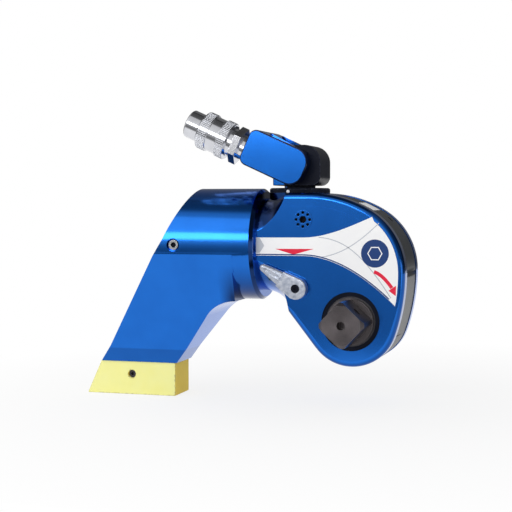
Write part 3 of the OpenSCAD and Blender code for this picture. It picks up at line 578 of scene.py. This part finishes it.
# painted shade: the post is blue, and right of postFrom it takes the black finish
def paintPostShade(bm):
    side = paintedShadeFaces["postFrom"] * mm
    geometry = bm.verts[:] + bm.edges[:] + bm.faces[:]
    bmesh.ops.bisect_plane(
        bm, geom=geometry, dist=merging["slivers"] * mm, plane_co=(side, 0, 0), plane_no=(1, 0, 0))
    for face in bm.faces:
        face.material_index = 1 if face.calc_center_median().x > side else 0


# painted shade: the pad's right side takes the deeper yellow
def paintPadSideShade(bm):
    bm.normal_update()
    for face in bm.faces:
        face.material_index = 1 if face.normal.x > paintedShadeFaces["padFacing"] else 0


# painted shade in the recesses: faces set back from the near end of a screw or plug take the black
# finish
def paintSunkShade(bm, depth):
    front = min(v.co.y for v in bm.verts)
    for face in bm.faces:
        if face.calc_center_median().y > front + depth:
            face.material_index = 1


smoothAngles = {"reaction_arm": 20.0, "housing": 24.0}
wideEdges = {"swivel_yoke", "swivel_post", "reaction_pad"}  # room for the whole width


def dressNode(nodeName, body, slot, finish, width):
    bm = mergedCopy(nodeName)
    breakEdges(bm, width * mm, nodeName not in wideEdges)
    if nodeName == "swivel_post":
        paintPostShade(bm)
    if nodeName == "reaction_pad":
        paintPadSideShade(bm)
    if nodeName in paintedShadeFaces["sunkDepth"]:
        paintSunkShade(bm, paintedShadeFaces["sunkDepth"][nodeName] * mm)
    smoothAngle = smoothAngles.get(nodeName, angles["smooth"])
    piece = addPiece(nodeName + "_dressed", bm, finish, body, smoothAngle)
    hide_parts(nodeName)


# node: body, slot, finish, width of the broken edge in mm; a second finish after a plus is painted
# shade
dressed = {
    "housing": ("housing", "blue_metal", "blue", 0.25),
    "reaction_arm": ("housing", "blue_metal", "blue", 0.6),
    "swivel_yoke": ("yoke", "blue_metal", "yokeBlue", 1.0),
    "vent_plug": ("housing", "blue_metal", "blue+blackAnodised", 0.2),
    "arm_lock_screw": ("housing", "bright_steel", "machinedSteel+blackAnodised", 0.25),
    "swivel_nut": ("housing", "black_metal", "blackAnodised", 0.4),
    "swivel_post": ("post", "blue_metal", "yokeBlue+blackAnodised", 0.6),
    "shroud": ("housing", "dark_cover", "coverBlack", 0.3),
    "square_drive": ("drive", "black_steel", "turnedOxide", 0.5),
    "reaction_pad": ("housing", "pad_paint", "padYellow+padShaded", 0.8),
    "female_coupler": ("yoke", "bright_steel", "brightPlate", 0.3),
    "male_coupler": ("yoke", "bright_steel", "brightPlate", 0.3),
    "locking_sleeve": ("collar", "bright_steel", "brightPlate", 0.35),
}
for nodeName, row in dressed.items():
    dressNode(nodeName, *row)
print("main pieces dressed:", len(dressed))


# the lever: a flat hub, a step, then a narrower rounded handle with a groove, in mm
lever = {
    "hub": (-40.0, 24.0),
    "angle": 149.0,
    "hubRadius": 8.2,
    "hubPower": 9.0,  # a higher power makes a squarer section
    "hubSteps": 12,
    "stepAt": 13.8,
    "stepWidth": 6.3,
    "stepGap": 0.5,
    "taperSteps": 4,
    "gripWidth": 5.5,
    "gripPower": 2.6,
    "gripSteps": 12,
    "tipAt": 29.0,
    "tipRadius": 3.0,
    "tipFlat": 0.4,
    "tipSteps": 8,
    "back": -34.6,
    "gripBack": -36.0,
    "front": -42.0,
    "gripFront": -41.2,
    "holeRadius": 3.25,
    "holeDepth": 2.6,
    "grooveWidth": 1.15,
    "grooveDepth": 0.6,
    "groove": (16.5, 27.5),
    "points": 48,
    "sharp": 35.0,
}


# each station: place along the lever, half width, back, front, power of the section
def leverStations():
    stations = []
    hub, step, tip = lever["hubRadius"], lever["stepAt"], lever["tipAt"]
    hubSides = (lever["back"], lever["front"], lever["hubPower"])
    steps = lever["hubSteps"]
    for k in range(1, steps + 1):
        along = -hub * math.cos(math.pi * k / (2 * steps))
        stations.append((along, math.sqrt(hub * hub - along * along), *hubSides))
    steps = lever["taperSteps"]
    for k in range(1, steps + 1):
        t = k / steps
        stations.append((step * t, hub + (lever["stepWidth"] - hub) * t, *hubSides))
    grip, end = lever["gripWidth"], lever["tipRadius"]
    back, front, power = lever["gripBack"], lever["gripFront"], lever["gripPower"]
    start = step + lever["stepGap"]
    steps = lever["gripSteps"]
    for k in range(steps + 1):
        t = k / steps
        stations.append((start + (tip - start) * t, grip + (end - grip) * t, back, front, power))
    middle = (back + front) / 2
    flat = lever["tipFlat"]
    steps = lever["tipSteps"]
    for k in range(1, steps):
        a = math.pi / 2 * k / steps
        half = (back - front) / 2 * (flat + (1 - flat) * math.cos(a))
        along = tip + end * math.sin(a)
        stations.append((along, end * math.cos(a), middle + half, middle - half, power))
    return stations


def leverLoop(bm, station):
    along, width, back, front, power = station
    turn = math.radians(lever["angle"])
    middle = (back + front) / 2
    half = (back - front) / 2
    first, last = lever["groove"]
    inGroove = first < along < last
    loop = []
    for k in range(lever["points"]):
        a = 2 * math.pi * k / lever["points"]
        c, d = math.cos(a), math.sin(a)
        across = width * math.copysign(abs(c) ** (2 / power), c)
        y = middle - half * math.copysign(abs(d) ** (2 / power), d)
        if inGroove and d > 0 and abs(across) < lever["grooveWidth"]:
            y += lever["grooveDepth"] * (1 - (across / lever["grooveWidth"]) ** 2)
        x = lever["hub"][0] + along * math.cos(turn) + across * math.sin(turn)
        z = lever["hub"][1] + along * math.sin(turn) - across * math.cos(turn)
        loop.append(bm.verts.new((x * mm, y * mm, z * mm)))
    return loop


def cutHole(piece):
    bm = bmesh.new()
    radius = lever["holeRadius"] * mm
    bmesh.ops.create_cone(
        bm, cap_ends=True, segments=lever["points"], radius1=radius, radius2=radius,
        depth=2 * lever["holeDepth"] * mm, matrix=Matrix.Rotation(math.pi / 2, 4, "X"))
    place = (lever["hub"][0] * mm, lever["front"] * mm, lever["hub"][1] * mm)
    bmesh.ops.translate(bm, verts=bm.verts, vec=place)
    mesh = meshOf("holeCutter", bm)
    cutter = newObject("holeCutter", mesh)
    modifier = piece.modifiers.new("hole", "BOOLEAN")
    modifier.operation = "DIFFERENCE"
    modifier.solver = "EXACT"
    modifier.object = cutter
    plainMesh(piece)
    bpy.data.objects.remove(cutter)
    bpy.data.meshes.remove(mesh)


def makeLever():
    bm = bmesh.new()
    loops = [leverLoop(bm, station) for station in leverStations()]
    count = lever["points"]
    for before, after in zip(loops, loops[1:]):
        for k in range(count):
            bm.faces.new((before[k], before[(k + 1) % count], after[(k + 1) % count], after[k]))
    bm.faces.new(loops[0])
    bm.faces.new(loops[-1][::-1])
    bmesh.ops.recalc_face_normals(bm, faces=bm.faces)
    mesh = meshOf("lever_dressed", bm)
    mesh.materials.append(materials["blastedSteel"])
    mesh.shade_smooth()
    piece = newObject("lever_dressed", mesh)
    cutHole(piece)
    piece.data.set_sharp_from_angle(angle=math.radians(lever["sharp"]))
    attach(piece, "release")
    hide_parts("release_lever")


makeLever()
print("lever made")


# flat films on the head's near face, from outlines in mm on [x, z]
def bezier(start, pull, draw, end, steps):
    points = []
    for k in range(steps + 1):
        t = k / steps
        s = 1.0 - t
        weights = (s ** 3, 3 * s * s * t, 3 * s * t * t, t ** 3)
        x = sum(w * p[0] for w, p in zip(weights, (start, pull, draw, end)))
        z = sum(w * p[1] for w, p in zip(weights, (start, pull, draw, end)))
        points.append((x, z))
    return points


def arcPoints(centre, radius, first, last, steps):
    points = []
    for k in range(steps + 1):
        a = math.radians(first + (last - first) * k / steps)
        points.append((centre[0] + radius * math.cos(a), centre[1] + radius * math.sin(a)))
    return points


def filmMesh(outlines, near, far):
    bm = bmesh.new()
    for outline in outlines:
        verts = [bm.verts.new((x * mm, far * mm, z * mm)) for x, z in outline]
        face = bm.faces.new(verts)
        grown = bmesh.ops.extrude_face_region(bm, geom=[face])
        moved = [v for v in grown["geom"] if isinstance(v, bmesh.types.BMVert)]
        bmesh.ops.translate(bm, verts=moved, vec=(0.0, (near - far) * mm, 0.0))
    bmesh.ops.recalc_face_normals(bm, faces=bm.faces)
    bmesh.ops.triangulate(bm, faces=[f for f in bm.faces if len(f.verts) > 4])
    return bm


def ribbon(points, width):
    left = []
    right = []
    for k, point in enumerate(points):
        before = Vector(points[max(k - 1, 0)])
        after = Vector(points[min(k + 1, len(points) - 1)])
        way = (after - before).normalized()
        side = Vector((-way.y, way.x)) * width / 2
        left.append(tuple(Vector(point) + side))
        right.append(tuple(Vector(point) - side))
    return left + right[::-1]


decal = {
    "face": -34.0,
    "film": 0.06,
    "print": 0.03,
    "linePrint": 0.015,
    "left": (-72.7, 48.0),
    "leftTop": (-72.7, 61.4),
    "topBend": (-35.0, 61.7),
    "topPulls": ((-18.0, 61.8), (2.0, 71.0)),
    "topSteps": 14,
    "tip": (16.0, 77.2),
    "lowBend": (-34.4, 48.0),
    "lowPulls": ((-14.0, 47.6), (10.0, 35.0)),
    "lowSteps": 16,
    "lowTip": (33.0, 12.2),
    "browCentre": (-14.0, 36.0),
    "browRadius": 49.2,
    "browSteps": 16,
    "chinCentre": (-105.0, 36.0),
    "chinRadius": 140.2,
    "chinSteps": 8,
    "disc": (18.1, 50.4),
    "discRadius": 10.3,
    "discSteps": 56,
    "nutRadius": 5.6,
    "nutHole": 4.8,
    "nutSides": 6,
    "edgeLine": 0.9,
    "edgeLift": 0.81,
    "wedge": ((-57.5, 53.1), (-43.2, 48.9), (-27.6, 53.3)),
    "bow": ((17.5, 37.0), (22.5, 35.6), (26.6, 31.0), (30.8, 25.4)),
    "bowWidth": 2.6,
    "arrowHead": ((28.2, 23.4), (33.8, 27.2), (33.6, 19.6)),
    "rise": ((-22.0, 47.2), (-6.0, 50.0), (6.0, 58.0), (21.0, 72.6)),
    "fall": ((-24.0, 62.0), (-6.0, 60.5), (8.0, 52.0), (30.0, 18.0)),
    "lineWidth": 0.7,
    "lineSteps": 12,
    "fallSteps": 14,
    "chevronShade": ((-72.6, 49.9), (-72.6, 61.2), (-69.4, 61.2), (-65.8, 55.4), (-69.4, 49.9)),
}


def decalTop():
    return bezier(decal["topBend"], *decal["topPulls"], decal["tip"], decal["topSteps"])


def decalBottom():
    return bezier(decal["lowBend"], *decal["lowPulls"], decal["lowTip"], decal["lowSteps"])


def decalRight():
    brow = Vector(decal["tip"]) - Vector(decal["browCentre"])
    chin = Vector(decal["lowTip"]) - Vector(decal["chinCentre"])
    first = math.degrees(math.atan2(brow.y, brow.x))
    last = math.degrees(math.atan2(chin.y, chin.x))
    upper = arcPoints(decal["browCentre"], decal["browRadius"], first, 0.0, decal["browSteps"])
    lower = arcPoints(decal["chinCentre"], decal["chinRadius"], 0.0, last, decal["chinSteps"])
    return upper[1:] + lower[1:-1]


def layFilm(name, outlines, near, far, finish):
    addPiece(name, filmMesh(outlines, near, far), finish, "housing")


def makeDecal():
    face = decal["face"]
    film = face - decal["film"]
    top = film - decal["print"]
    outline = [decal["left"], decal["leftTop"]] + decalTop() + decalRight() + decalBottom()[::-1]
    layFilm("decal_film", [outline], film, face, "whiteFilm")

    edge = [decal["left"]] + decalBottom()[:-1]
    lowLine = ribbon([(x, z + decal["edgeLift"]) for x, z in edge], decal["edgeLine"])
    disc = arcPoints(decal["disc"], decal["discRadius"], 0.0, 360.0, decal["discSteps"])[:-1]
    layFilm("decal_navy", [lowLine, disc], top, film, "navyFilm")

    halves = []
    halfNut = decal["nutSides"] // 2
    for first in (0.0, 180.0):
        outer = arcPoints(decal["disc"], decal["nutRadius"], first, first + 180.0, halfNut)
        inner = arcPoints(decal["disc"], decal["nutHole"], first + 180.0, first, halfNut)
        halves.append(outer + inner)
    layFilm("decal_nut", halves, top - decal["print"], top, "whiteFilm")

    arrow = ribbon(bezier(*decal["bow"], decal["lineSteps"]), decal["bowWidth"])
    layFilm("decal_red", [decal["wedge"], arrow, decal["arrowHead"]], top, film, "redFilm")

    # the grey rise and fall are print; the grey chevron at the decal's left end is painted shade from
    # the sleeve's end
    rise = ribbon(bezier(*decal["rise"], decal["lineSteps"]), decal["lineWidth"])
    fall = ribbon(bezier(*decal["fall"], decal["fallSteps"]), decal["lineWidth"])
    layFilm("decal_grey", [rise, fall, decal["chevronShade"]], film - decal["linePrint"], film, "greyPrintAndShade")


makeDecal()
print("decal laid")


# bare label on the upper end of the cover, on an arc in mm and degrees
coverLabel = {
    "centre": (-32.65, 3.7),
    "radius": 90.7,
    "first": 59.5,
    "last": 67.5,
    "steps": 8,
    "near": -15.0,
    "far": 11.0,
    "film": 0.08,
}


def makeCoverLabel():
    bm = bmesh.new()
    sides = (coverLabel["near"], coverLabel["far"])
    span = (coverLabel["first"], coverLabel["last"], coverLabel["steps"])
    low = arcPoints(coverLabel["centre"], coverLabel["radius"], *span)
    high = arcPoints(coverLabel["centre"], coverLabel["radius"] + coverLabel["film"], *span)
    rows = []
    for pair in zip(low, high):
        rows.append([[bm.verts.new((x * mm, y * mm, z * mm)) for y in sides] for x, z in pair])
    for before, after in zip(rows, rows[1:]):
        bm.faces.new((before[1][0], before[1][1], after[1][1], after[1][0]))
        bm.faces.new((before[0][0], after[0][0], after[0][1], before[0][1]))
        for side in (0, 1):
            bm.faces.new((before[0][side], before[1][side], after[1][side], after[0][side]))
    for row in (rows[0], rows[-1]):
        bm.faces.new((row[0][0], row[0][1], row[1][1], row[1][0]))
    bmesh.ops.recalc_face_normals(bm, faces=bm.faces)
    addPiece("cover_label", bm, "whiteFilm", "housing")


makeCoverLabel()
print("label laid")


# light dot on the side of the swivel nut
nutDot = {
    "axis": (-46.9, 0.0),
    "radius": 23.2,
    "bearing": 261.3,
    "height": 95.9,
    "size": 1.3,
    "thick": 0.24,
    "sides": 32,
}


def makeNutDot():
    bm = bmesh.new()
    bearing = math.radians(nutDot["bearing"])
    out = Vector((math.cos(bearing), math.sin(bearing), 0.0))
    turn = out.to_track_quat("Z", "Y").to_matrix().to_4x4()
    centre = Vector((*nutDot["axis"], nutDot["height"])) + out * nutDot["radius"]
    size = nutDot["size"] * mm
    bmesh.ops.create_cone(
        bm, cap_ends=True, segments=nutDot["sides"], radius1=size, radius2=size,
        depth=nutDot["thick"] * mm, matrix=Matrix.Translation(centre * mm) @ turn)
    addPiece("nut_dot", bm, "whiteFilm", "housing")


makeNutDot()
print("dot laid")


# straight knurl on the two rings of the locking sleeve
knurl = {
    "count": 64,
    "ringRadius": 14.42,
    "ridgeRadius": 0.42,
    "ridgeLength": 6.2,
    "ridgeSides": 6,
    "inner": 58.25,
    "outer": 74.0,
    "pivot": (-48.476, -16.0, 111.542),
    "tilt": 24.5,
}


def knurlValues():
    return {
        "Ridges": ("NodeSocketInt", knurl["count"]),
        "Ring Radius": ("NodeSocketFloat", knurl["ringRadius"] * mm),
        "Ridge Radius": ("NodeSocketFloat", knurl["ridgeRadius"] * mm),
        "Ridge Length": ("NodeSocketFloat", knurl["ridgeLength"] * mm),
        "Inner Ring": ("NodeSocketFloat", knurl["inner"] * mm),
        "Outer Ring": ("NodeSocketFloat", knurl["outer"] * mm),
        "Pivot": ("NodeSocketVector", [v * mm for v in knurl["pivot"]]),
        "Turn": ("NodeSocketVector", [0.0, math.radians(knurl["tilt"] - 90.0), 0.0]),
        "Finish": ("NodeSocketMaterial", materials["knurledPlate"]),
    }


def knurlTree(values):
    tree = bpy.data.node_groups.new("sleeveKnurl", "GeometryNodeTree")
    sockets = {}
    for label, (kind, value) in values.items():
        socket = tree.interface.new_socket(label, in_out="INPUT", socket_type=kind)
        sockets[label] = socket.identifier
    tree.interface.new_socket("Geometry", in_out="OUTPUT", socket_type="NodeSocketGeometry")
    given = addNode(tree, "NodeGroupInput")
    circle = addNode(tree, "GeometryNodeCurvePrimitiveCircle")
    join(tree, given.outputs["Ridges"], circle.inputs["Resolution"])
    join(tree, given.outputs["Ring Radius"], circle.inputs["Radius"])
    points = addNode(tree, "GeometryNodeCurveToPoints", mode="EVALUATED")
    join(tree, circle.outputs["Curve"], points.inputs["Curve"])
    ridge = addNode(tree, "GeometryNodeMeshCylinder")
    ridge.inputs["Vertices"].default_value = knurl["ridgeSides"]
    join(tree, given.outputs["Ridge Radius"], ridge.inputs["Radius"])
    join(tree, given.outputs["Ridge Length"], ridge.inputs["Depth"])
    placed = addNode(tree, "GeometryNodeInstanceOnPoints")
    join(tree, points.outputs["Points"], placed.inputs["Points"])
    join(tree, ridge.outputs["Mesh"], placed.inputs["Instance"])
    both = addNode(tree, "GeometryNodeJoinGeometry")
    for label in ("Inner Ring", "Outer Ring"):
        along = addNode(tree, "ShaderNodeCombineXYZ")
        join(tree, given.outputs[label], along.inputs["Z"])
        move = addNode(tree, "GeometryNodeTransform")
        join(tree, placed.outputs["Instances"], move.inputs["Geometry"])
        join(tree, along.outputs["Vector"], move.inputs["Translation"])
        join(tree, move.outputs["Geometry"], both.inputs["Geometry"])
    swing = addNode(tree, "GeometryNodeTransform")
    join(tree, both.outputs["Geometry"], swing.inputs["Geometry"])
    join(tree, given.outputs["Pivot"], swing.inputs["Translation"])
    join(tree, given.outputs["Turn"], swing.inputs["Rotation"])
    real = addNode(tree, "GeometryNodeRealizeInstances")
    join(tree, swing.outputs["Geometry"], real.inputs["Geometry"])
    paint = addNode(tree, "GeometryNodeSetMaterial")
    join(tree, real.outputs["Geometry"], paint.inputs["Geometry"])
    join(tree, given.outputs["Finish"], paint.inputs["Material"])
    out = addNode(tree, "NodeGroupOutput")
    join(tree, paint.outputs["Geometry"], out.inputs["Geometry"])
    return tree, sockets


def makeKnurl():
    values = knurlValues()
    tree, sockets = knurlTree(values)
    piece = newObject("sleeve_knurl", bpy.data.meshes.new("sleeve_knurl"))
    modifier = piece.modifiers.new("knurl", "NODES")
    modifier.node_group = tree
    for label, (kind, value) in values.items():
        modifier[sockets[label]] = value
    plainMesh(piece)
    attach(piece, "collar")


makeKnurl()
print("knurl made")


# coil springs and the joint that presses each: joint, body
springs = {
    "sleeve_spring": ("sleeve_slide", "yoke"),
    "female_spring": ("female_valve_slide", "yoke"),
    "male_spring": ("male_valve_slide", "yoke"),
    "retainer_spring": ("retainer_press", "drive"),
}


def dressSpring(nodeName, body):
    bm = mergedCopy(nodeName)
    piece = addPiece(nodeName + "_dressed", bm, "machinedSteel", body)
    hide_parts(nodeName)
    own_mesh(piece)


for springName, (jointName, body) in springs.items():
    dressSpring(springName, body)
print("springs made:", len(springs))


# finishes for the nodes that stay as the CAD gives them
slotFinish = {
    "blue_metal": "blue",
    "black_metal": "blackAnodised",
    "dark_cover": "coverBlack",
    "black_steel": "blackOxide",
    "plain_steel": "machinedSteel",
    "bright_steel": "brightPlate",
    "lever_metal": "blastedSteel",
    "pad_paint": "padYellow",
    "seal_rubber": "sealRubber",
}
ownFinish = {
    "passage_plug": "whiteFilm",
    "lever_screw": "blackAnodised",
    "drive_sleeves": "blackAnodised",
}


def finishNodes():
    slotOf = {row["node"]: row["material_slot"] for row in frame["record"]["subparts"]}
    for name, node in nodes.items():
        finish = materials[ownFinish.get(name, slotFinish[slotOf[name]])]
        if not node.material_slots:
            node.data.materials.append(finish)
        for place in node.material_slots:
            place.material = finish


finishNodes()
print("other nodes finished")


# white floor that keeps the shadow, soft light
studio = {
    "floorColour": (0.92, 0.92, 0.93),
    "floorPaler": 0.015,
    "floorGrain": 400.0,
    "floorRoughness": 0.9,
    "floorWide": 2.4,
    "floorNear": -0.36,
    "floorFar": 2.2,
    "ownWhite": 0.78,
    "shadowReach": (0.12, 0.42),
    "ambient": 0.72,
    "rightLevel": 0.15,
    "rightRange": (0.15, 0.75),
    "backLevel": 0.2,
    "backRange": (0.1, 0.4),
}
lamps = {
    "strip": {
        "place": (-0.38, -1.06, 0.36),
        "aim": (-0.08, 0.0, 0.055),
        "size": (0.62, 0.26),
        "power": 2.3,
    },
    "key": {
        "place": (-0.7, -0.9, 0.9),
        "aim": (-0.05, 0.0, 0.05),
        "size": (0.7, 0.7),
        "power": 1.0,
    },
    "fill": {
        "place": (0.9, -0.6, 0.02),
        "aim": (-0.02, 0.0, 0.0),
        "size": (0.6, 0.3),
        "power": 0.8,
    },
}


# how bright the room is by height, as metal shows it
roomLevels = (
    (0.0, 0.6), (0.29, 0.45), (0.354, 0.16), (0.413, 0.26), (0.478, 0.42), (0.55, 0.85),
    (0.72, 0.86), (0.935, 0.68), (0.957, 0.14), (1.0, 0.08))


def seenDirectly(tree):
    path = addNode(tree, "ShaderNodeLightPath")
    seen = plus(tree, path.outputs["Is Camera Ray"], path.outputs["Is Glossy Ray"])
    return plus(tree, seen, path.outputs["Is Transmission Ray"])


def makeFloor():
    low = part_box("reaction_pad")[0][2]
    near, far, wide = studio["floorNear"], studio["floorFar"], studio["floorWide"]
    mesh = bpy.data.meshes.new("floor")
    corners = [(-wide, near, low), (wide, near, low), (wide, far, low), (-wide, far, low)]
    mesh.from_pydata(corners, [], [(0, 1, 2, 3)])
    material, tree, shader = newMaterial("floorPaper")
    place = objectPlace(tree)
    grain = noiseOf(tree, place, studio["floorGrain"], noiseDetail["floor"])
    pale = studio["floorColour"]
    paler = tuple(min(1.0, v + studio["floorPaler"]) for v in pale)
    join(tree, mixColours(tree, grain, pale, paler), shader.inputs["Base Color"])
    shader.inputs["Roughness"].default_value = studio["floorRoughness"]
    reach = addNode(tree, "ShaderNodeVectorMath", operation="LENGTH")
    join(tree, place, reach.inputs[0])
    share = spread(tree, reach.outputs["Value"], studio["ownWhite"], 1.0, *studio["shadowReach"])
    glow = addNode(tree, "ShaderNodeEmission")
    blend = addNode(tree, "ShaderNodeMixShader")
    join(tree, times(tree, share, seenDirectly(tree)), blend.inputs["Fac"])
    join(tree, shader.outputs["BSDF"], blend.inputs[1])
    join(tree, glow.outputs["Emission"], blend.inputs[2])
    join(tree, blend.outputs["Shader"], tree.nodes["Material Output"].inputs["Surface"])
    mesh.materials.append(material)
    floor = newObject("floor", mesh)


def makeLamp(name, lamp):
    data = bpy.data.lights.new(name, "AREA")
    data.shape = "RECTANGLE"
    data.size, data.size_y = lamp["size"]
    data.energy = lamp["power"]
    light = newObject(name, data)
    light.location = lamp["place"]
    way = Vector(lamp["aim"]) - Vector(lamp["place"])
    light.rotation_euler = way.to_track_quat("-Z", "Y").to_euler()


# white to the camera, the room's levels in metal, one plain level for all other light
def makeWorld():
    world = bpy.data.worlds.new("studio")
    bpy.context.scene.world = world
    world.use_nodes = True
    tree = world.node_tree
    back = tree.nodes["Background"]
    place = addNode(tree, "ShaderNodeTexCoord")
    split = addNode(tree, "ShaderNodeSeparateXYZ")
    join(tree, place.outputs["Generated"], split.inputs["Vector"])
    ramp = addNode(tree, "ShaderNodeValToRGB")
    join(tree, spread(tree, split.outputs["Z"], 0.0, 1.0, -1.0, 1.0), ramp.inputs["Fac"])
    while len(ramp.color_ramp.elements) < len(roomLevels):
        ramp.color_ramp.elements.new(0.5)
    for element, (position, level) in zip(ramp.color_ramp.elements, roomLevels):
        element.position = position
        element.color = (level, level, level, 1.0)
    rightward = spread(tree, split.outputs["X"], 1.0, studio["rightLevel"], *studio["rightRange"])
    backward = spread(tree, split.outputs["Y"], 1.0, studio["backLevel"], *studio["backRange"])
    room = addNode(tree, "ShaderNodeVectorMath", operation="SCALE")
    join(tree, ramp.outputs["Color"], room.inputs[0])
    join(tree, times(tree, rightward, backward), room.inputs["Scale"])
    path = addNode(tree, "ShaderNodeLightPath")
    mirrored = plus(tree, path.outputs["Is Glossy Ray"], path.outputs["Is Transmission Ray"])
    plain = (studio["ambient"], studio["ambient"], studio["ambient"])
    lit = mixColours(tree, mirrored, plain, room.outputs["Vector"])
    shown = mixColours(tree, path.outputs["Is Camera Ray"], lit, (1.0, 1.0, 1.0))
    join(tree, shown, back.inputs["Color"])
    back.inputs["Strength"].default_value = 1.0


makeFloor()
for lampName, lamp in lamps.items():
    makeLamp(lampName, lamp)
makeWorld()
print("studio lit")
